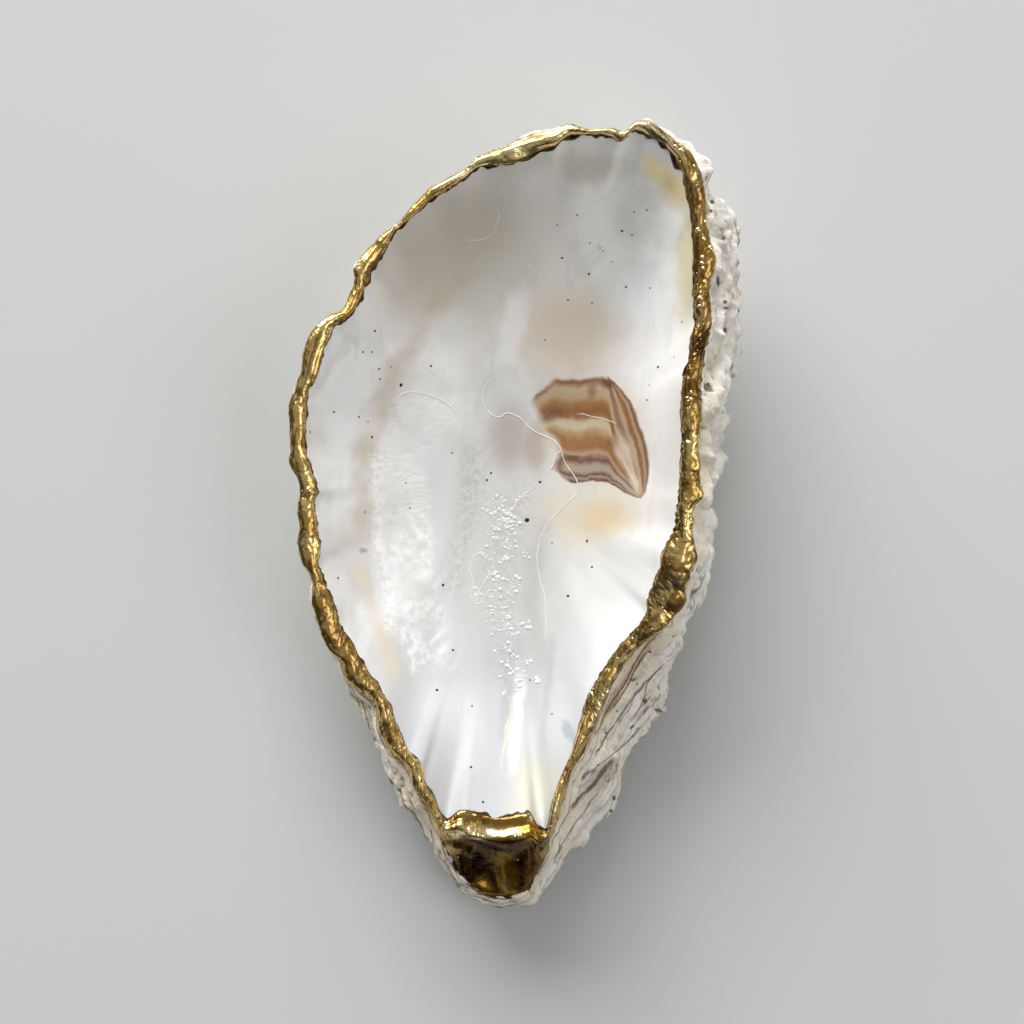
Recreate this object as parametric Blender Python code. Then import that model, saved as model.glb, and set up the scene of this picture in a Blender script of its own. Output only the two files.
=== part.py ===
"""One cupped oyster valve with a gilded lip and hinge plate, lying on the worn patch of its underside.

+Y runs from the hinge to the broad margin and +Z is up. The origin is under the middle of the shell's box.
"""

import bmesh
import bpy
import numpy as np
from mathutils import Vector, noise

MM = 0.001

# Driving sizes
SHELL_LENGTH = 100 * MM  # hinge tip to far margin
FLOOR_HEIGHT = 3.4 * MM  # top of the bowl's floor above the ground
FOOT_WEAR = 1.0 * MM  # how much of the round underside is worn flat
HIDDEN_INSET = 0.5 * MM  # how far the outer wall stands in under the lip on the left and at the far end
LIP_ROUND = 0.45 * MM  # fall of the lip from its crest to either edge
GROOVE_DEPTH = 1.9 * MM  # the ligament's groove down the hinge plate
GROOVE_ANGLE = 267.5
GROOVE_SPREAD = 3.4
PLATE_RIDGE = 1.9 * MM  # the ridge along the plate's upper edge
LEDGE_OUT = 0.50 * MM  # how far a growth ledge stands out
LEDGE_IN = 0.30 * MM  # how far it is cut back below its edge

# The photograph looks straight down. Its pixel scale is for the height of the lip, and what lies
# lower is farther from the lens, so its distance from the middle of the view is a little larger.
VIEW_CENTRE = (512.0, 512.0)
VIEW_LENGTH = 792.3  # pixels from the far margin to the tip, with the tip's depth allowed for
PIXEL = SHELL_LENGTH / VIEW_LENGTH
LENS_HEIGHT = 364 * MM
LIP_HEIGHT = 18 * MM
BOWL_CENTRE = (505.0, 470.0)
UMBO_CENTRE = (500.0, 690.0)  # the growth loops of the underside close round this point

# Outlines in the photograph's pixels, from the top right corner round by the left side to the tip
# and back up the right side
LIP_OUTER_EDGE = (
    (690, 153), (675, 142), (668, 135), (655, 125), (648, 121), (640, 122), (632, 126), (626, 131),
    (610, 128), (590, 130), (570, 124), (555, 130), (540, 133), (520, 139), (500, 148), (480, 154),
    (470, 164), (460, 172), (440, 184), (430, 189), (420, 199), (400, 220), (380, 237), (370, 247),
    (360, 259), (354, 267), (355, 280), (350, 295), (343, 310), (330, 316), (318, 325), (309, 337),
    (304, 352), (301, 371), (296, 385), (289, 407), (290, 422), (290, 450), (289, 461), (292, 469),
    (298, 479), (300, 491), (298, 512), (300, 526), (298, 543), (303, 562), (308, 569), (312, 580),
    (312, 605), (318, 622), (328, 648), (343, 660), (352, 678), (360, 688), (371, 695), (379, 710),
    (383, 727), (395, 753), (401, 758), (411, 769), (413, 782), (420, 796), (429, 810), (436, 824),
    (444, 845), (452, 862), (460, 878), (470, 890), (482, 899), (496, 902), (514, 901), (528, 893),
    (540, 870), (548, 845), (556, 826), (562, 800), (570, 770), (590, 735), (605, 700), (620, 670),
    (640, 644), (663, 628), (682, 603), (683, 589), (691, 567), (696, 555), (690, 530), (692, 507),
    (702, 497), (699, 480), (698, 440), (701, 406), (697, 385), (700, 365), (706, 335), (711, 322),
    (708, 286), (714, 260), (710, 245), (705, 216), (705, 198), (700, 179),
)
LIP_INNER_EDGE = (
    (683, 168), (675, 154), (665, 144), (652, 136), (645, 130), (635, 128), (628, 133), (620, 139),
    (612, 135), (600, 132), (580, 133), (570, 133), (562, 138), (555, 144), (540, 150), (520, 158),
    (500, 163), (480, 166), (470, 171), (460, 179), (440, 191), (430, 198), (420, 208), (400, 226),
    (390, 238), (380, 257), (370, 270), (363, 291), (353, 310), (341, 320), (332, 326), (328, 335),
    (323, 345), (319, 358), (313, 380), (306, 395), (304, 421), (303, 440), (305, 453), (311, 473),
    (316, 491), (312, 500), (313, 519), (318, 549), (316, 565), (320, 575), (329, 597), (333, 607),
    (338, 626), (348, 641), (360, 661), (368, 675), (384, 698), (394, 722), (400, 739), (407, 753),
    (416, 762), (421, 771), (422, 784), (429, 796), (437, 812), (446, 824), (462, 813), (475, 816),
    (500, 820), (520, 817), (530, 818), (538, 832), (546, 833), (551, 818), (555, 800), (562, 780),
    (573, 752), (581, 724), (588, 699), (599, 679), (609, 664), (622, 646), (634, 634), (648, 617),
    (649, 600), (657, 581), (661, 572), (665, 555), (670, 544), (677, 527), (680, 500), (683, 476),
    (684, 401), (686, 372), (690, 360), (693, 339), (697, 316), (694, 282), (695, 228), (693, 213),
    (687, 186),
)
CRUST_EDGE = (
    (690, 153), (640, 128), (575, 132), (500, 154), (430, 198), (362, 268), (313, 345), (294, 420),
    (303, 500), (306, 562), (318, 610), (328, 643), (340, 663), (354, 683), (360, 702), (366, 722),
    (379, 745), (390, 768), (402, 791), (415, 812), (431, 834),
    (444, 855), (456, 881), (476, 897), (496, 903), (510, 902), (525, 901),
    (543, 888), (560, 866), (568, 849), (578, 841), (591, 824), (610, 811), (619, 797), (623, 775),
    (628, 757), (637, 740), (647, 733), (657, 717), (664, 708), (666, 686), (675, 667), (682, 641),
    (683, 615), (697, 598), (702, 585), (706, 552), (702, 529), (705, 522), (701, 502), (711, 479),
    (714, 458), (719, 437), (724, 420), (718, 403), (734, 378), (737, 370), (728, 345), (738, 320),
    (740, 310), (736, 272), (740, 241), (736, 226), (724, 210), (713, 198), (709, 193), (706, 178),
    (704, 166),
)

# Values round the shell, as pairs of an angle in degrees about the bowl's centre and a value.
# 0 is +X, the right side, 90 the far margin, 180 the left side and 269 the hinge tip.
LIP_HEIGHTS = (
    (45, 20.0), (61, 19.2), (76, 19.0), (95, 18.2), (127, 17.4), (146, 19.0), (164, 18.4), (192, 17.6),
    (212, 16.6), (230, 15.2), (247, 14.6), (259, 15.2), (269, 15.6), (277, 15.4), (284, 14.8),
    (298, 15.8), (317, 17.6), (333, 19.6), (351, 20.6), (372, 21.0), (387, 21.0),
)
PLATE_FALLS = (  # from the inner edge of the lip down to its outer edge
    (60, 0.0), (254, 0.0), (259, 1.6), (263, 5.0), (268, 7.2), (273, 5.6), (277, 2.2), (283, 0.6), (300, 0.0),
)
CRUST_HEIGHTS = (
    (45, 11.0), (61, 16.5), (90, 15.8), (127, 14.0), (164, 14.5), (212, 12.4), (230, 9.0), (247, 7.5),
    (269, 5.0), (285, 4.6), (300, 5.2), (315, 6.0), (335, 7.4), (352, 8.8), (380, 9.4), (395, 9.6),
)
BOWL_STEEPNESS = (
    (45, 3.5), (76, 2.4), (127, 2.2), (164, 2.3), (230, 3.0), (252, 4.6), (262, 6.0), (274, 6.0),
    (284, 4.8), (300, 4.0), (350, 3.9),
)
UNDER_STEEPNESS = (
    (45, 2.2), (76, 2.3), (127, 2.2), (164, 2.2), (230, 2.2), (268, 2.4), (300, 2.3), (350, 2.3),
)
CRUST_SHOWS = ((40, 1.0), (60, 1.0), (70, 0.0), (222, 0.0), (232, 1.0), (350, 1.0))

# Rings of the mesh
STEPS_ROUND = 128
BOWL_RINGS = (0.955, 0.90, 0.84, 0.77, 0.69, 0.60, 0.50, 0.39, 0.27, 0.14)
LIP_RINGS = (0.0, 0.11, 0.25, 0.42, 0.72, 1.0)
WALL_LEDGES = (0.26, 0.50, 0.74, 0.97)
GROWTH_LEDGES = (0.965, 0.90, 0.82, 0.73, 0.63, 0.52, 0.40, 0.27)
WALL_STEP = -0.08  # from a ledge's edge back to the younger layer that comes out under it
GROWTH_STEP = 0.016


def around(stations):
    """A smooth value round the shell from pairs of an angle and a value."""
    angles = [float(angle) for angle, value in stations]
    values = [value for angle, value in stations]
    angles.append(angles[0] + 360)
    values.append(values[0])

    def value_at(angle):
        turned = (np.asarray(angle, float) - angles[0]) % 360 + angles[0]
        index = np.clip(np.searchsorted(angles, turned, side="right") - 1, 0, len(angles) - 2)
        low = np.take(angles, index)
        share = (turned - low) / (np.take(angles, index + 1) - low)
        share = share * share * (3 - 2 * share)
        return np.take(values, index) * (1 - share) + np.take(values, index + 1) * share

    return value_at


def place(pixels, height):
    """Pixels of the photograph to metres, for points at this height."""
    scale = PIXEL * (LENS_HEIGHT - height) / (LENS_HEIGHT - LIP_HEIGHT)
    across = (pixels[..., 0] - VIEW_CENTRE[0]) * scale
    along = (VIEW_CENTRE[1] - pixels[..., 1]) * scale
    return np.stack([across, along], axis=-1)


def bearing(points, centre):
    """Angle in degrees and distance of plan points about a centre."""
    offset = points - centre
    angle = np.degrees(np.arctan2(offset[..., 1], offset[..., 0])) % 360
    return angle, np.hypot(offset[..., 0], offset[..., 1])


def rounded(outline, height_at, centre, pieces=8):
    """The outline as a smooth radius about the bowl's centre."""
    corners = np.array(outline, float)
    middle = np.array(BOWL_CENTRE)
    turned = np.degrees(np.arctan2(middle[1] - corners[:, 1], corners[:, 0] - middle[0]))
    points = place(corners, height_at(turned) * MM)
    before, after, beyond = np.roll(points, 1, 0), np.roll(points, -1, 0), np.roll(points, -2, 0)
    curve = []
    for share in np.linspace(0, 1, pieces, endpoint=False):
        bend = (2 * before - 5 * points + 4 * after - beyond) * share**2
        twist = (3 * points - before - 3 * after + beyond) * share**3
        curve.append(points + 0.5 * ((after - before) * share + bend + twist))
    angles, radii = bearing(np.concatenate(curve), centre)
    order = np.argsort(angles)
    angles, radii = angles[order], radii[order]

    def radius_at(angle):
        return np.interp(np.asarray(angle) % 360, angles, radii, period=360)

    return radius_at


def eased(radius_at, reach):
    """The radius without its small bends, for what lies away from the edge."""

    def radius_eased(angle):
        return np.mean([radius_at(angle + turn) for turn in np.linspace(-reach, reach, 9)], axis=0)

    return radius_eased


CENTRE = place(np.array(BOWL_CENTRE), LIP_HEIGHT)
UMBO = place(np.array(UMBO_CENTRE), LIP_HEIGHT)
lip_height = around(LIP_HEIGHTS)
plate_fall = around(PLATE_FALLS)
crust_height = around(CRUST_HEIGHTS)
bowl_steepness = around(BOWL_STEEPNESS)
under_steepness = around(UNDER_STEEPNESS)
crust_shows = around(CRUST_SHOWS)
lip_outer = rounded(LIP_OUTER_EDGE, lip_height, CENTRE)
lip_inner = rounded(LIP_INNER_EDGE, lip_height, CENTRE)
bowl_edge = eased(lip_inner, 9)
crust_edge = rounded(CRUST_EDGE, crust_height, CENTRE)


def widest(angle):
    """Radius of the outer wall where it stands out most."""
    shows = crust_shows(angle)
    return shows * crust_edge(angle) + (1 - shows) * (lip_outer(angle) - HIDDEN_INSET)


def even_angles(count):
    """Angles that cut the shell's outline into even lengths."""
    fine = np.linspace(0, 360, 3601)
    radius = widest(fine)
    turned = np.radians(fine)
    loop = np.stack([radius * np.cos(turned), radius * np.sin(turned)], axis=1)
    length = np.concatenate([[0], np.cumsum(np.linalg.norm(np.diff(loop, axis=0), axis=1))])
    return np.interp(np.arange(count) * length[-1] / count, length, fine)


def ring(angle, radius, height):
    """Points about the bowl's centre."""
    turned = np.radians(angle)
    return np.stack(
        [CENTRE[0] + radius * np.cos(turned), CENTRE[1] + radius * np.sin(turned), height + 0 * radius], axis=-1
    )


def bowl_ring(angle, share):
    """A ring of the nacre bowl, at a share of the way from its middle to the lip."""
    rim = lip_height(angle) * MM - LIP_ROUND
    height = FLOOR_HEIGHT + (rim - FLOOR_HEIGHT) * share ** bowl_steepness(angle)
    radius = lip_inner(angle) * share**5 + bowl_edge(angle) * (1 - share**5)
    return ring(angle, radius * share, height)


def lip_ring(angle, share):
    """A ring of the lip, from its inner edge to its outer edge. At the hinge it is the sloping plate."""
    radius = lip_inner(angle) * (1 - share) + lip_outer(angle) * share
    fall = plate_fall(angle)
    crest = LIP_ROUND * (2 * share - 1) ** 2
    height = lip_height(angle) * MM - crest - fall * MM * share**1.25
    beyond = np.clip((share - 0.27) / 0.73, 0, 1)
    groove = np.exp(-(((angle - GROOVE_ANGLE) / GROOVE_SPREAD) ** 2)) * np.sin(np.pi * beyond) * GROOVE_DEPTH
    ridge = np.clip(fall / 5, 0, 1) * np.exp(-(((share - 0.25) / 0.09) ** 2)) * PLATE_RIDGE
    return ring(angle, radius, height - groove + ridge)


def wall_ring(angle, share):
    """A ring of the outer wall, from the lip's outer edge to where the crust stands out most."""
    top = (lip_height(angle) - plate_fall(angle)) * MM - LIP_ROUND
    height = top + (crust_height(angle) * MM - top) * share
    bulge = 0.6 * MM * np.sin(np.pi * share) * crust_shows(angle)
    radius = lip_outer(angle) * (1 - share) + widest(angle) * share
    return ring(angle, radius + bulge, height)


def under_ring(angle, share):
    """A ring of the underside, the widest outline drawn in towards the umbo."""
    edge = ring(angle, widest(angle), 0 * angle)[..., :2]
    plan = UMBO + (edge - UMBO) * share
    turned, distance = bearing(plan, CENTRE)
    reach = np.minimum(distance / widest(turned), 1)
    height = (crust_height(turned) * MM + FOOT_WEAR) * reach ** under_steepness(turned) - FOOT_WEAR
    return np.concatenate([plan, height[..., None]], axis=-1)


def ledge_rings(shares, step):
    """For each ledge, the younger layer just beside it, cut back, and then its own edge, standing out."""
    for share in shares:
        yield share + step, -LEDGE_IN
        yield share, LEDGE_OUT


def bridge(mesh, outer, inner, slot):
    """Faces between two rings. The inner ring has as many points as the outer, or half as many."""
    count = len(outer)
    halved = len(inner) * 2 == count
    for i in range(len(inner)):
        after = (i + 1) % len(inner)
        if halved:
            first, second, third = outer[2 * i], outer[2 * i + 1], outer[(2 * i + 2) % count]
            sides = ((first, second, inner[i]), (second, inner[after], inner[i]), (second, third, inner[after]))
        else:
            sides = ((outer[i], outer[after], inner[after], inner[i]),)
        for side in sides:
            mesh.faces.new(side).material_index = slot


def close(mesh, last, point, slot):
    """A fan from the last ring to a point."""
    tip = mesh.verts.new(point)
    for i in range(len(last)):
        mesh.faces.new((last[i], last[(i + 1) % len(last)], tip)).material_index = slot
    return tip


def lumps(point, size):
    """Rough lumps of this size, from -1 to 1."""
    return noise.fractal(Vector(point) / size, 0.8, 2.1, 3)


def build_mesh():
    """Rings from the middle of the bowl over the lip to the middle of the underside."""
    mesh = bmesh.new()
    angles = even_angles(STEPS_ROUND)
    offsets = {}

    def add(points, offset):
        made = [mesh.verts.new(point) for point in points]
        offsets.update({vertex: offset for vertex in made})
        return made

    # The bowl, from the lip inwards
    lip = [add(lip_ring(angles, share), ("lip", 0)) for share in LIP_RINGS]
    rings = lip[0]
    for number, share in enumerate(BOWL_RINGS):
        thinned = 1 if number < 5 else 2 if number < 8 else 4
        points = bowl_ring(angles, share)[::thinned]
        following = add(points, ("bowl", share))
        bridge(mesh, rings, following, 0)
        rings = following
    offsets[close(mesh, rings, (*CENTRE, FLOOR_HEIGHT), 0)] = ("bowl", 0)

    # The lip, then the wall and the underside, whose faces run the other way
    for inner, outer in zip(lip, lip[1:]):
        bridge(mesh, outer, inner, 1)
    rings = lip[-1]
    for share, offset in ledge_rings(WALL_LEDGES, WALL_STEP):
        following = add(wall_ring(angles, share), ("crust", offset))
        bridge(mesh, following, rings, 2)
        rings = following
    for number, (share, offset) in enumerate(ledge_rings(GROWTH_LEDGES, GROWTH_STEP)):
        thinned = 1 if number < 12 else 2
        following = add(under_ring(angles, share)[::thinned], ("crust", offset))
        if len(following) == len(rings):
            bridge(mesh, following, rings, 2)
        else:
            bridge(mesh, rings[::-1], following[::-1], 2)
        rings = following
    offsets[close(mesh, rings[::-1], (*UMBO, 0), 2)] = ("crust", 0)
    return mesh, offsets


def roughen(mesh, offsets):
    """Moves each point along its normal, for waves in the nacre, dents in the gilding and lumps in the crust."""
    mesh.normal_update()
    moves = {}
    for vertex, (zone, amount) in offsets.items():
        if zone == "bowl":
            move = 0.30 * MM * noise.noise(vertex.co / (14 * MM)) * (1 - amount**4)
        elif zone == "lip":
            move = 0.40 * MM * lumps(vertex.co, 4 * MM)
        else:
            broken = 0.65 + 0.8 * noise.noise(vertex.co / (9 * MM))
            move = amount * broken + 0.55 * MM * lumps(vertex.co, 6 * MM)
        moves[vertex] = vertex.normal * move
    for vertex, move in moves.items():
        vertex.co += move


def settle(mesh):
    """Wears the underside flat and puts the origin under the middle of the box."""
    low = np.min([vertex.co[:2] for vertex in mesh.verts], axis=0)
    high = np.max([vertex.co[:2] for vertex in mesh.verts], axis=0)
    middle = (low + high) / 2
    for vertex in mesh.verts:
        vertex.co.x -= middle[0]
        vertex.co.y -= middle[1]
        vertex.co.z = max(vertex.co.z, 0)


def material(name, colour, roughness, metallic):
    made = bpy.data.materials.new(name)
    made.use_nodes = True
    shader = made.node_tree.nodes["Principled BSDF"]
    shader.inputs["Base Color"].default_value = (*colour, 1)
    shader.inputs["Roughness"].default_value = roughness
    shader.inputs["Metallic"].default_value = metallic
    return made


def main():
    for obj in list(bpy.data.objects):
        bpy.data.objects.remove(obj)
    mesh, offsets = build_mesh()
    roughen(mesh, offsets)
    settle(mesh)
    data = bpy.data.meshes.new("shell")
    mesh.to_mesh(data)
    mesh.free()
    data.materials.append(material("nacre", (0.78, 0.76, 0.73), 0.22, 0.0))
    data.materials.append(material("gilding", (0.62, 0.42, 0.12), 0.28, 1.0))
    data.materials.append(material("crust", (0.66, 0.62, 0.56), 0.85, 0.0))
    data.shade_smooth()
    bpy.context.scene.collection.objects.link(bpy.data.objects.new("shell", data))


main()
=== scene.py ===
import math

import bpy
import numpy as np
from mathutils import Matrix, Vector, noise
from mathutils.bvhtree import BVHTree


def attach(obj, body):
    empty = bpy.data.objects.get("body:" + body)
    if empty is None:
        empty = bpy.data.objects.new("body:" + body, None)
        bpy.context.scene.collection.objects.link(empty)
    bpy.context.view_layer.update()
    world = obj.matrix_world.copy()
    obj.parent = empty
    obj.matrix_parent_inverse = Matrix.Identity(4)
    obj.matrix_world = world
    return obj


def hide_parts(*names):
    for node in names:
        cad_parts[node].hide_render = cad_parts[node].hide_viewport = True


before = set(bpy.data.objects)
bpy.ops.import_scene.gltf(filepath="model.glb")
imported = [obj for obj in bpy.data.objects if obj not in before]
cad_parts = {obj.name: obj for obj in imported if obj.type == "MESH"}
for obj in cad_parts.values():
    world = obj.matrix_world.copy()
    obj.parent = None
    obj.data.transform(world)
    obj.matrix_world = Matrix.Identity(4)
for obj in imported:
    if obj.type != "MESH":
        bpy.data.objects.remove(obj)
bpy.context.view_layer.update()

mm = 0.001

# The photograph looks straight down. Its pixel is a length at the height of the lip.
view = {
    "centre": (512.0, 512.0),
    "pixel": 100 * mm / 792.3,
    "lensHeight": 364 * mm,
    "lipHeight": 18 * mm,
    "bowlCentre": (505.0, 470.0),
    "growthCentre": (500.0, 690.0),  # the growth loops of the underside close round it
}

# Outlines in the photograph's pixels, from the top right corner round by the left side to the
# hinge tip and back up the right side
lipOuterEdge = (
    (690, 153), (675, 142), (668, 135), (655, 125), (648, 121), (640, 122), (632, 126), (626, 131),
    (610, 128), (590, 130), (570, 124), (555, 130), (540, 133), (520, 139), (500, 148), (480, 154),
    (470, 164), (460, 172), (440, 184), (430, 189), (420, 199), (400, 220), (380, 237), (370, 247),
    (360, 259), (354, 267), (355, 280), (350, 295), (343, 310), (330, 316), (318, 325), (309, 337),
    (304, 352), (301, 371), (296, 385), (289, 407), (290, 422), (290, 450), (289, 461), (292, 469),
    (298, 479), (300, 491), (298, 512), (300, 526), (298, 543), (303, 562), (308, 569), (312, 580),
    (312, 605), (318, 622), (328, 648), (343, 660), (352, 678), (360, 688), (371, 695), (379, 710),
    (383, 727), (395, 753), (401, 758), (411, 769), (413, 782), (420, 796), (429, 810), (436, 824),
    (444, 845), (452, 862), (460, 878), (470, 890), (482, 899), (496, 902), (514, 901), (528, 893),
    (540, 870), (548, 845), (556, 826), (562, 800), (570, 770), (590, 735), (605, 700), (620, 670),
    (640, 644), (663, 628), (682, 603), (683, 589), (691, 567), (696, 555), (690, 530), (692, 507),
    (702, 497), (699, 480), (698, 440), (701, 406), (697, 385), (700, 365), (706, 335), (711, 322),
    (708, 286), (714, 260), (710, 245), (705, 216), (705, 198), (700, 179),
)
lipInnerEdge = (
    (683, 168), (675, 154), (665, 144), (652, 136), (645, 130), (635, 128), (628, 133), (620, 139),
    (612, 135), (600, 132), (580, 133), (570, 133), (562, 138), (555, 144), (540, 150), (520, 158),
    (500, 163), (480, 166), (470, 171), (460, 179), (440, 191), (430, 198), (420, 208), (400, 226),
    (390, 238), (380, 257), (370, 270), (363, 291), (353, 310), (341, 320), (332, 326), (328, 335),
    (323, 345), (319, 358), (313, 380), (306, 395), (304, 421), (303, 440), (305, 453), (311, 473),
    (316, 491), (312, 500), (313, 519), (318, 549), (316, 565), (320, 575), (329, 597), (333, 607),
    (338, 626), (348, 641), (360, 661), (368, 675), (384, 698), (394, 722), (400, 739), (407, 753),
    (416, 762), (421, 771), (422, 784), (429, 796), (437, 812), (446, 824), (462, 813), (475, 816),
    (500, 820), (520, 817), (530, 818), (538, 832), (546, 833), (551, 818), (555, 800), (562, 780),
    (573, 752), (581, 724), (588, 699), (599, 679), (609, 664), (622, 646), (634, 634), (648, 617),
    (649, 600), (657, 581), (661, 572), (665, 555), (670, 544), (677, 527), (680, 500), (683, 476),
    (684, 401), (686, 372), (690, 360), (693, 339), (697, 316), (694, 282), (695, 228), (693, 213),
    (687, 186),
)
crustEdge = (
    (690, 153), (640, 128), (575, 132), (500, 154), (430, 198), (362, 268), (313, 345), (294, 420),
    (303, 500), (306, 562), (318, 610), (328, 643), (340, 663), (354, 683), (360, 702), (366, 722),
    (379, 745), (390, 768), (402, 791), (415, 812), (431, 834), (444, 855), (456, 881), (476, 897),
    (496, 903), (510, 902), (525, 901), (543, 888), (560, 866), (568, 849), (578, 841), (591, 824),
    (610, 811), (619, 797), (623, 775), (628, 757), (637, 740), (647, 733), (657, 717), (664, 708),
    (666, 686), (675, 667), (682, 641), (683, 615), (697, 598), (702, 585), (706, 552), (702, 529),
    (705, 522), (701, 502), (711, 479), (714, 458), (719, 437), (724, 420), (718, 403), (734, 378),
    (737, 370), (728, 345), (738, 320), (740, 310), (736, 272), (740, 241), (736, 226), (724, 210),
    (713, 198), (709, 193), (706, 178), (704, 166),
)

# Pairs of an angle in degrees about the bowl's centre and a value, in mm where it is a height.
# 0 is +X, the right side, 90 the far margin, 180 the left side and 269 the hinge tip.
shellForm = {
    "lipHeights": (
        (45, 20.0), (61, 19.2), (76, 19.0), (95, 18.2), (127, 17.4), (146, 19.0), (164, 18.4),
        (192, 17.6), (212, 16.6), (230, 15.2), (247, 14.6), (259, 15.2), (269, 15.6), (277, 15.4),
        (284, 14.8), (298, 15.8), (317, 17.6), (333, 19.6), (351, 20.6), (372, 21.0), (387, 21.0),
    ),
    "plateFalls": (
        (60, 0.0), (254, 0.0), (259, 1.6), (263, 5.0), (268, 7.2), (273, 5.6), (277, 2.2),
        (283, 0.6), (300, 0.0),
    ),
    "crustHeights": (
        (45, 11.0), (61, 16.5), (90, 15.8), (127, 14.0), (164, 14.5), (212, 12.4), (230, 9.0),
        (247, 7.5), (269, 5.0), (285, 4.6), (300, 5.2), (315, 6.0), (335, 7.4), (352, 8.8),
        (380, 9.4), (395, 9.6),
    ),
    "bowlSteepness": (
        (45, 3.5), (76, 2.4), (127, 2.2), (164, 2.3), (230, 3.0), (252, 4.6), (262, 6.0),
        (274, 6.0), (284, 4.8), (300, 4.0), (350, 3.9),
    ),
    "underSteepness": (
        (45, 2.2), (76, 2.3), (127, 2.2), (164, 2.2), (230, 2.2), (268, 2.4), (300, 2.3), (350, 2.3),
    ),
    "crustShows": ((40, 1.0), (60, 1.0), (70, 0.0), (222, 0.0), (232, 1.0), (350, 1.0)),
    "floorHeight": 3.4 * mm,
    "footWear": 1.0 * mm,
    "hiddenInset": 0.5 * mm,
    "lipRound": 0.45 * mm,
    "grooveDepth": 1.9 * mm,
    "grooveAngle": 267.5,
    "grooveSpread": 3.4,
    "plateRidge": 1.9 * mm,
    "wallBulge": 0.6 * mm,
}

bowlRelief = {  # heights, and the sizes of what they move
    "waves": 0.30 * mm,
    "waveSize": 14 * mm,
    "ripples": 0.05 * mm,
    "rippleSize": 3.5 * mm,
    "lipLumps": 0.26 * mm,
    "lipLumpSize": 4 * mm,
}

crustRelief = {
    "ledgeOut": 0.50 * mm,
    "ledgeIn": 0.30 * mm,
    "wallLedges": (0.26, 0.50, 0.74, 0.97),
    "growthLedges": (0.965, 0.90, 0.82, 0.73, 0.63, 0.52, 0.40, 0.27),
    "wallStep": -0.08,
    "growthStep": 0.016,
    "lumps": 0.55 * mm,
    "lumpSize": 6 * mm,
    "puffs": 0.95 * mm,  # rounded lumps of chalk with creases between them
    "puffSize": 4.6 * mm,
    "puffWarp": 1.2 * mm,
    "puffWarpSize": 3 * mm,
    "creaseDepth": 2.4,  # of the creases between the puffs, and where the puffs' level lies
    "creaseLevel": 0.35,
    "smallPuffs": 0.50 * mm,
    "smallPuffSize": 1.9 * mm,
    "lamellae": 0.30 * mm,  # fine leaves of shell between the main ledges
    "lamellaGap": 1.25 * mm,
    "lamellaCrest": 0.14,  # where in its width a leaf is highest
    "lamellaLevel": 0.4,
    "lamellaBends": ((1.1 * mm, 11 * mm), (0.4 * mm, 3.2 * mm)),  # how far they wander, and over what size
    "lamellaPatchSize": 7 * mm,
    "underRun": 0.42,  # of the way from the edge to the umbo, as the leaves count it
    "settleRun": 1.0 * mm,  # from the lip to where the relief is at its full height
    "brokenSize": 9 * mm,
    "grit": 0.10 * mm,
    "gritSize": 0.8 * mm,
    "pits": 0.55 * mm,
    "pitSize": 1.1 * mm,
    "pitLevel": 0.52,
    "pitEdge": 0.1,
    # the share of the leaves and of the puffs round the shell
    "leafShare": ((-60, 1.0), (-30, 0.75), (-12, 0.25), (60, 0.15), (90, 0.7), (200, 0.9), (250, 1.0)),
    "puffShare": ((-60, 0.35), (-30, 0.55), (-10, 1.0), (52, 1.0), (66, 0.45), (200, 0.4), (250, 0.35)),
    # how far the hidden side is drawn in, in mm
    "drawnIn": ((-60, 0.0), (55, 0.0), (64, 0.45), (215, 0.45), (235, 0.1), (250, 0.0)),
}

meshDetail = {
    "round": 720,
    "bowl": 64,
    "wall": 36,
    "under": 60,
    # a share of the way out, and how many of the points round the shell make one beyond it
    "bowlThinning": ((0.9, 1), (0.4, 2), (0.2, 4), (0.08, 8), (-1, 16)),
    "underThinning": ((0.62, 1), (0.3, 2), (0.14, 4), (-1, 8)),
}
zoneNumbers = {"bowl": 0, "lip": 1, "wall": 2, "under": 3}
slotNumbers = {"nacre": 0, "lip": 1, "crust": 2}


def around(stations):  # a smooth value round the shell
    angles = [float(angle) for angle, value in stations]
    values = [value for angle, value in stations]
    angles.append(angles[0] + 360)
    values.append(values[0])

    def valueAt(angle):
        turned = (np.asarray(angle, float) - angles[0]) % 360 + angles[0]
        index = np.clip(np.searchsorted(angles, turned, side="right") - 1, 0, len(angles) - 2)
        low = np.take(angles, index)
        share = (turned - low) / (np.take(angles, index + 1) - low)
        share = share * share * (3 - 2 * share)
        return np.take(values, index) * (1 - share) + np.take(values, index + 1) * share

    return valueAt


def pixelAt(height):  # the photograph's pixel as a length at this height
    return view["pixel"] * (view["lensHeight"] - height) / (view["lensHeight"] - view["lipHeight"])


def place(pixels, height):  # pixels of the photograph to metres, for points at this height
    scale = pixelAt(height)
    across = (pixels[..., 0] - view["centre"][0]) * scale
    along = (view["centre"][1] - pixels[..., 1]) * scale
    return np.stack([across, along], axis=-1)


def seenAt(points):  # where a point shows in the photograph, in pixels
    scale = pixelAt(points[:, 2])
    return np.stack([view["centre"][0] + points[:, 0] / scale, view["centre"][1] - points[:, 1] / scale], 1)


def bearing(points, centre):
    offset = points - centre
    angle = np.degrees(np.arctan2(offset[..., 1], offset[..., 0])) % 360
    return angle, np.hypot(offset[..., 0], offset[..., 1])


def bent(before, start, end, after, share):  # a point of the smooth curve from start to end
    bend = (2 * before - 5 * start + 4 * end - after) * share**2
    twist = (3 * start - before - 3 * end + after) * share**3
    return start + 0.5 * ((end - before) * share + bend + twist)


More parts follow.
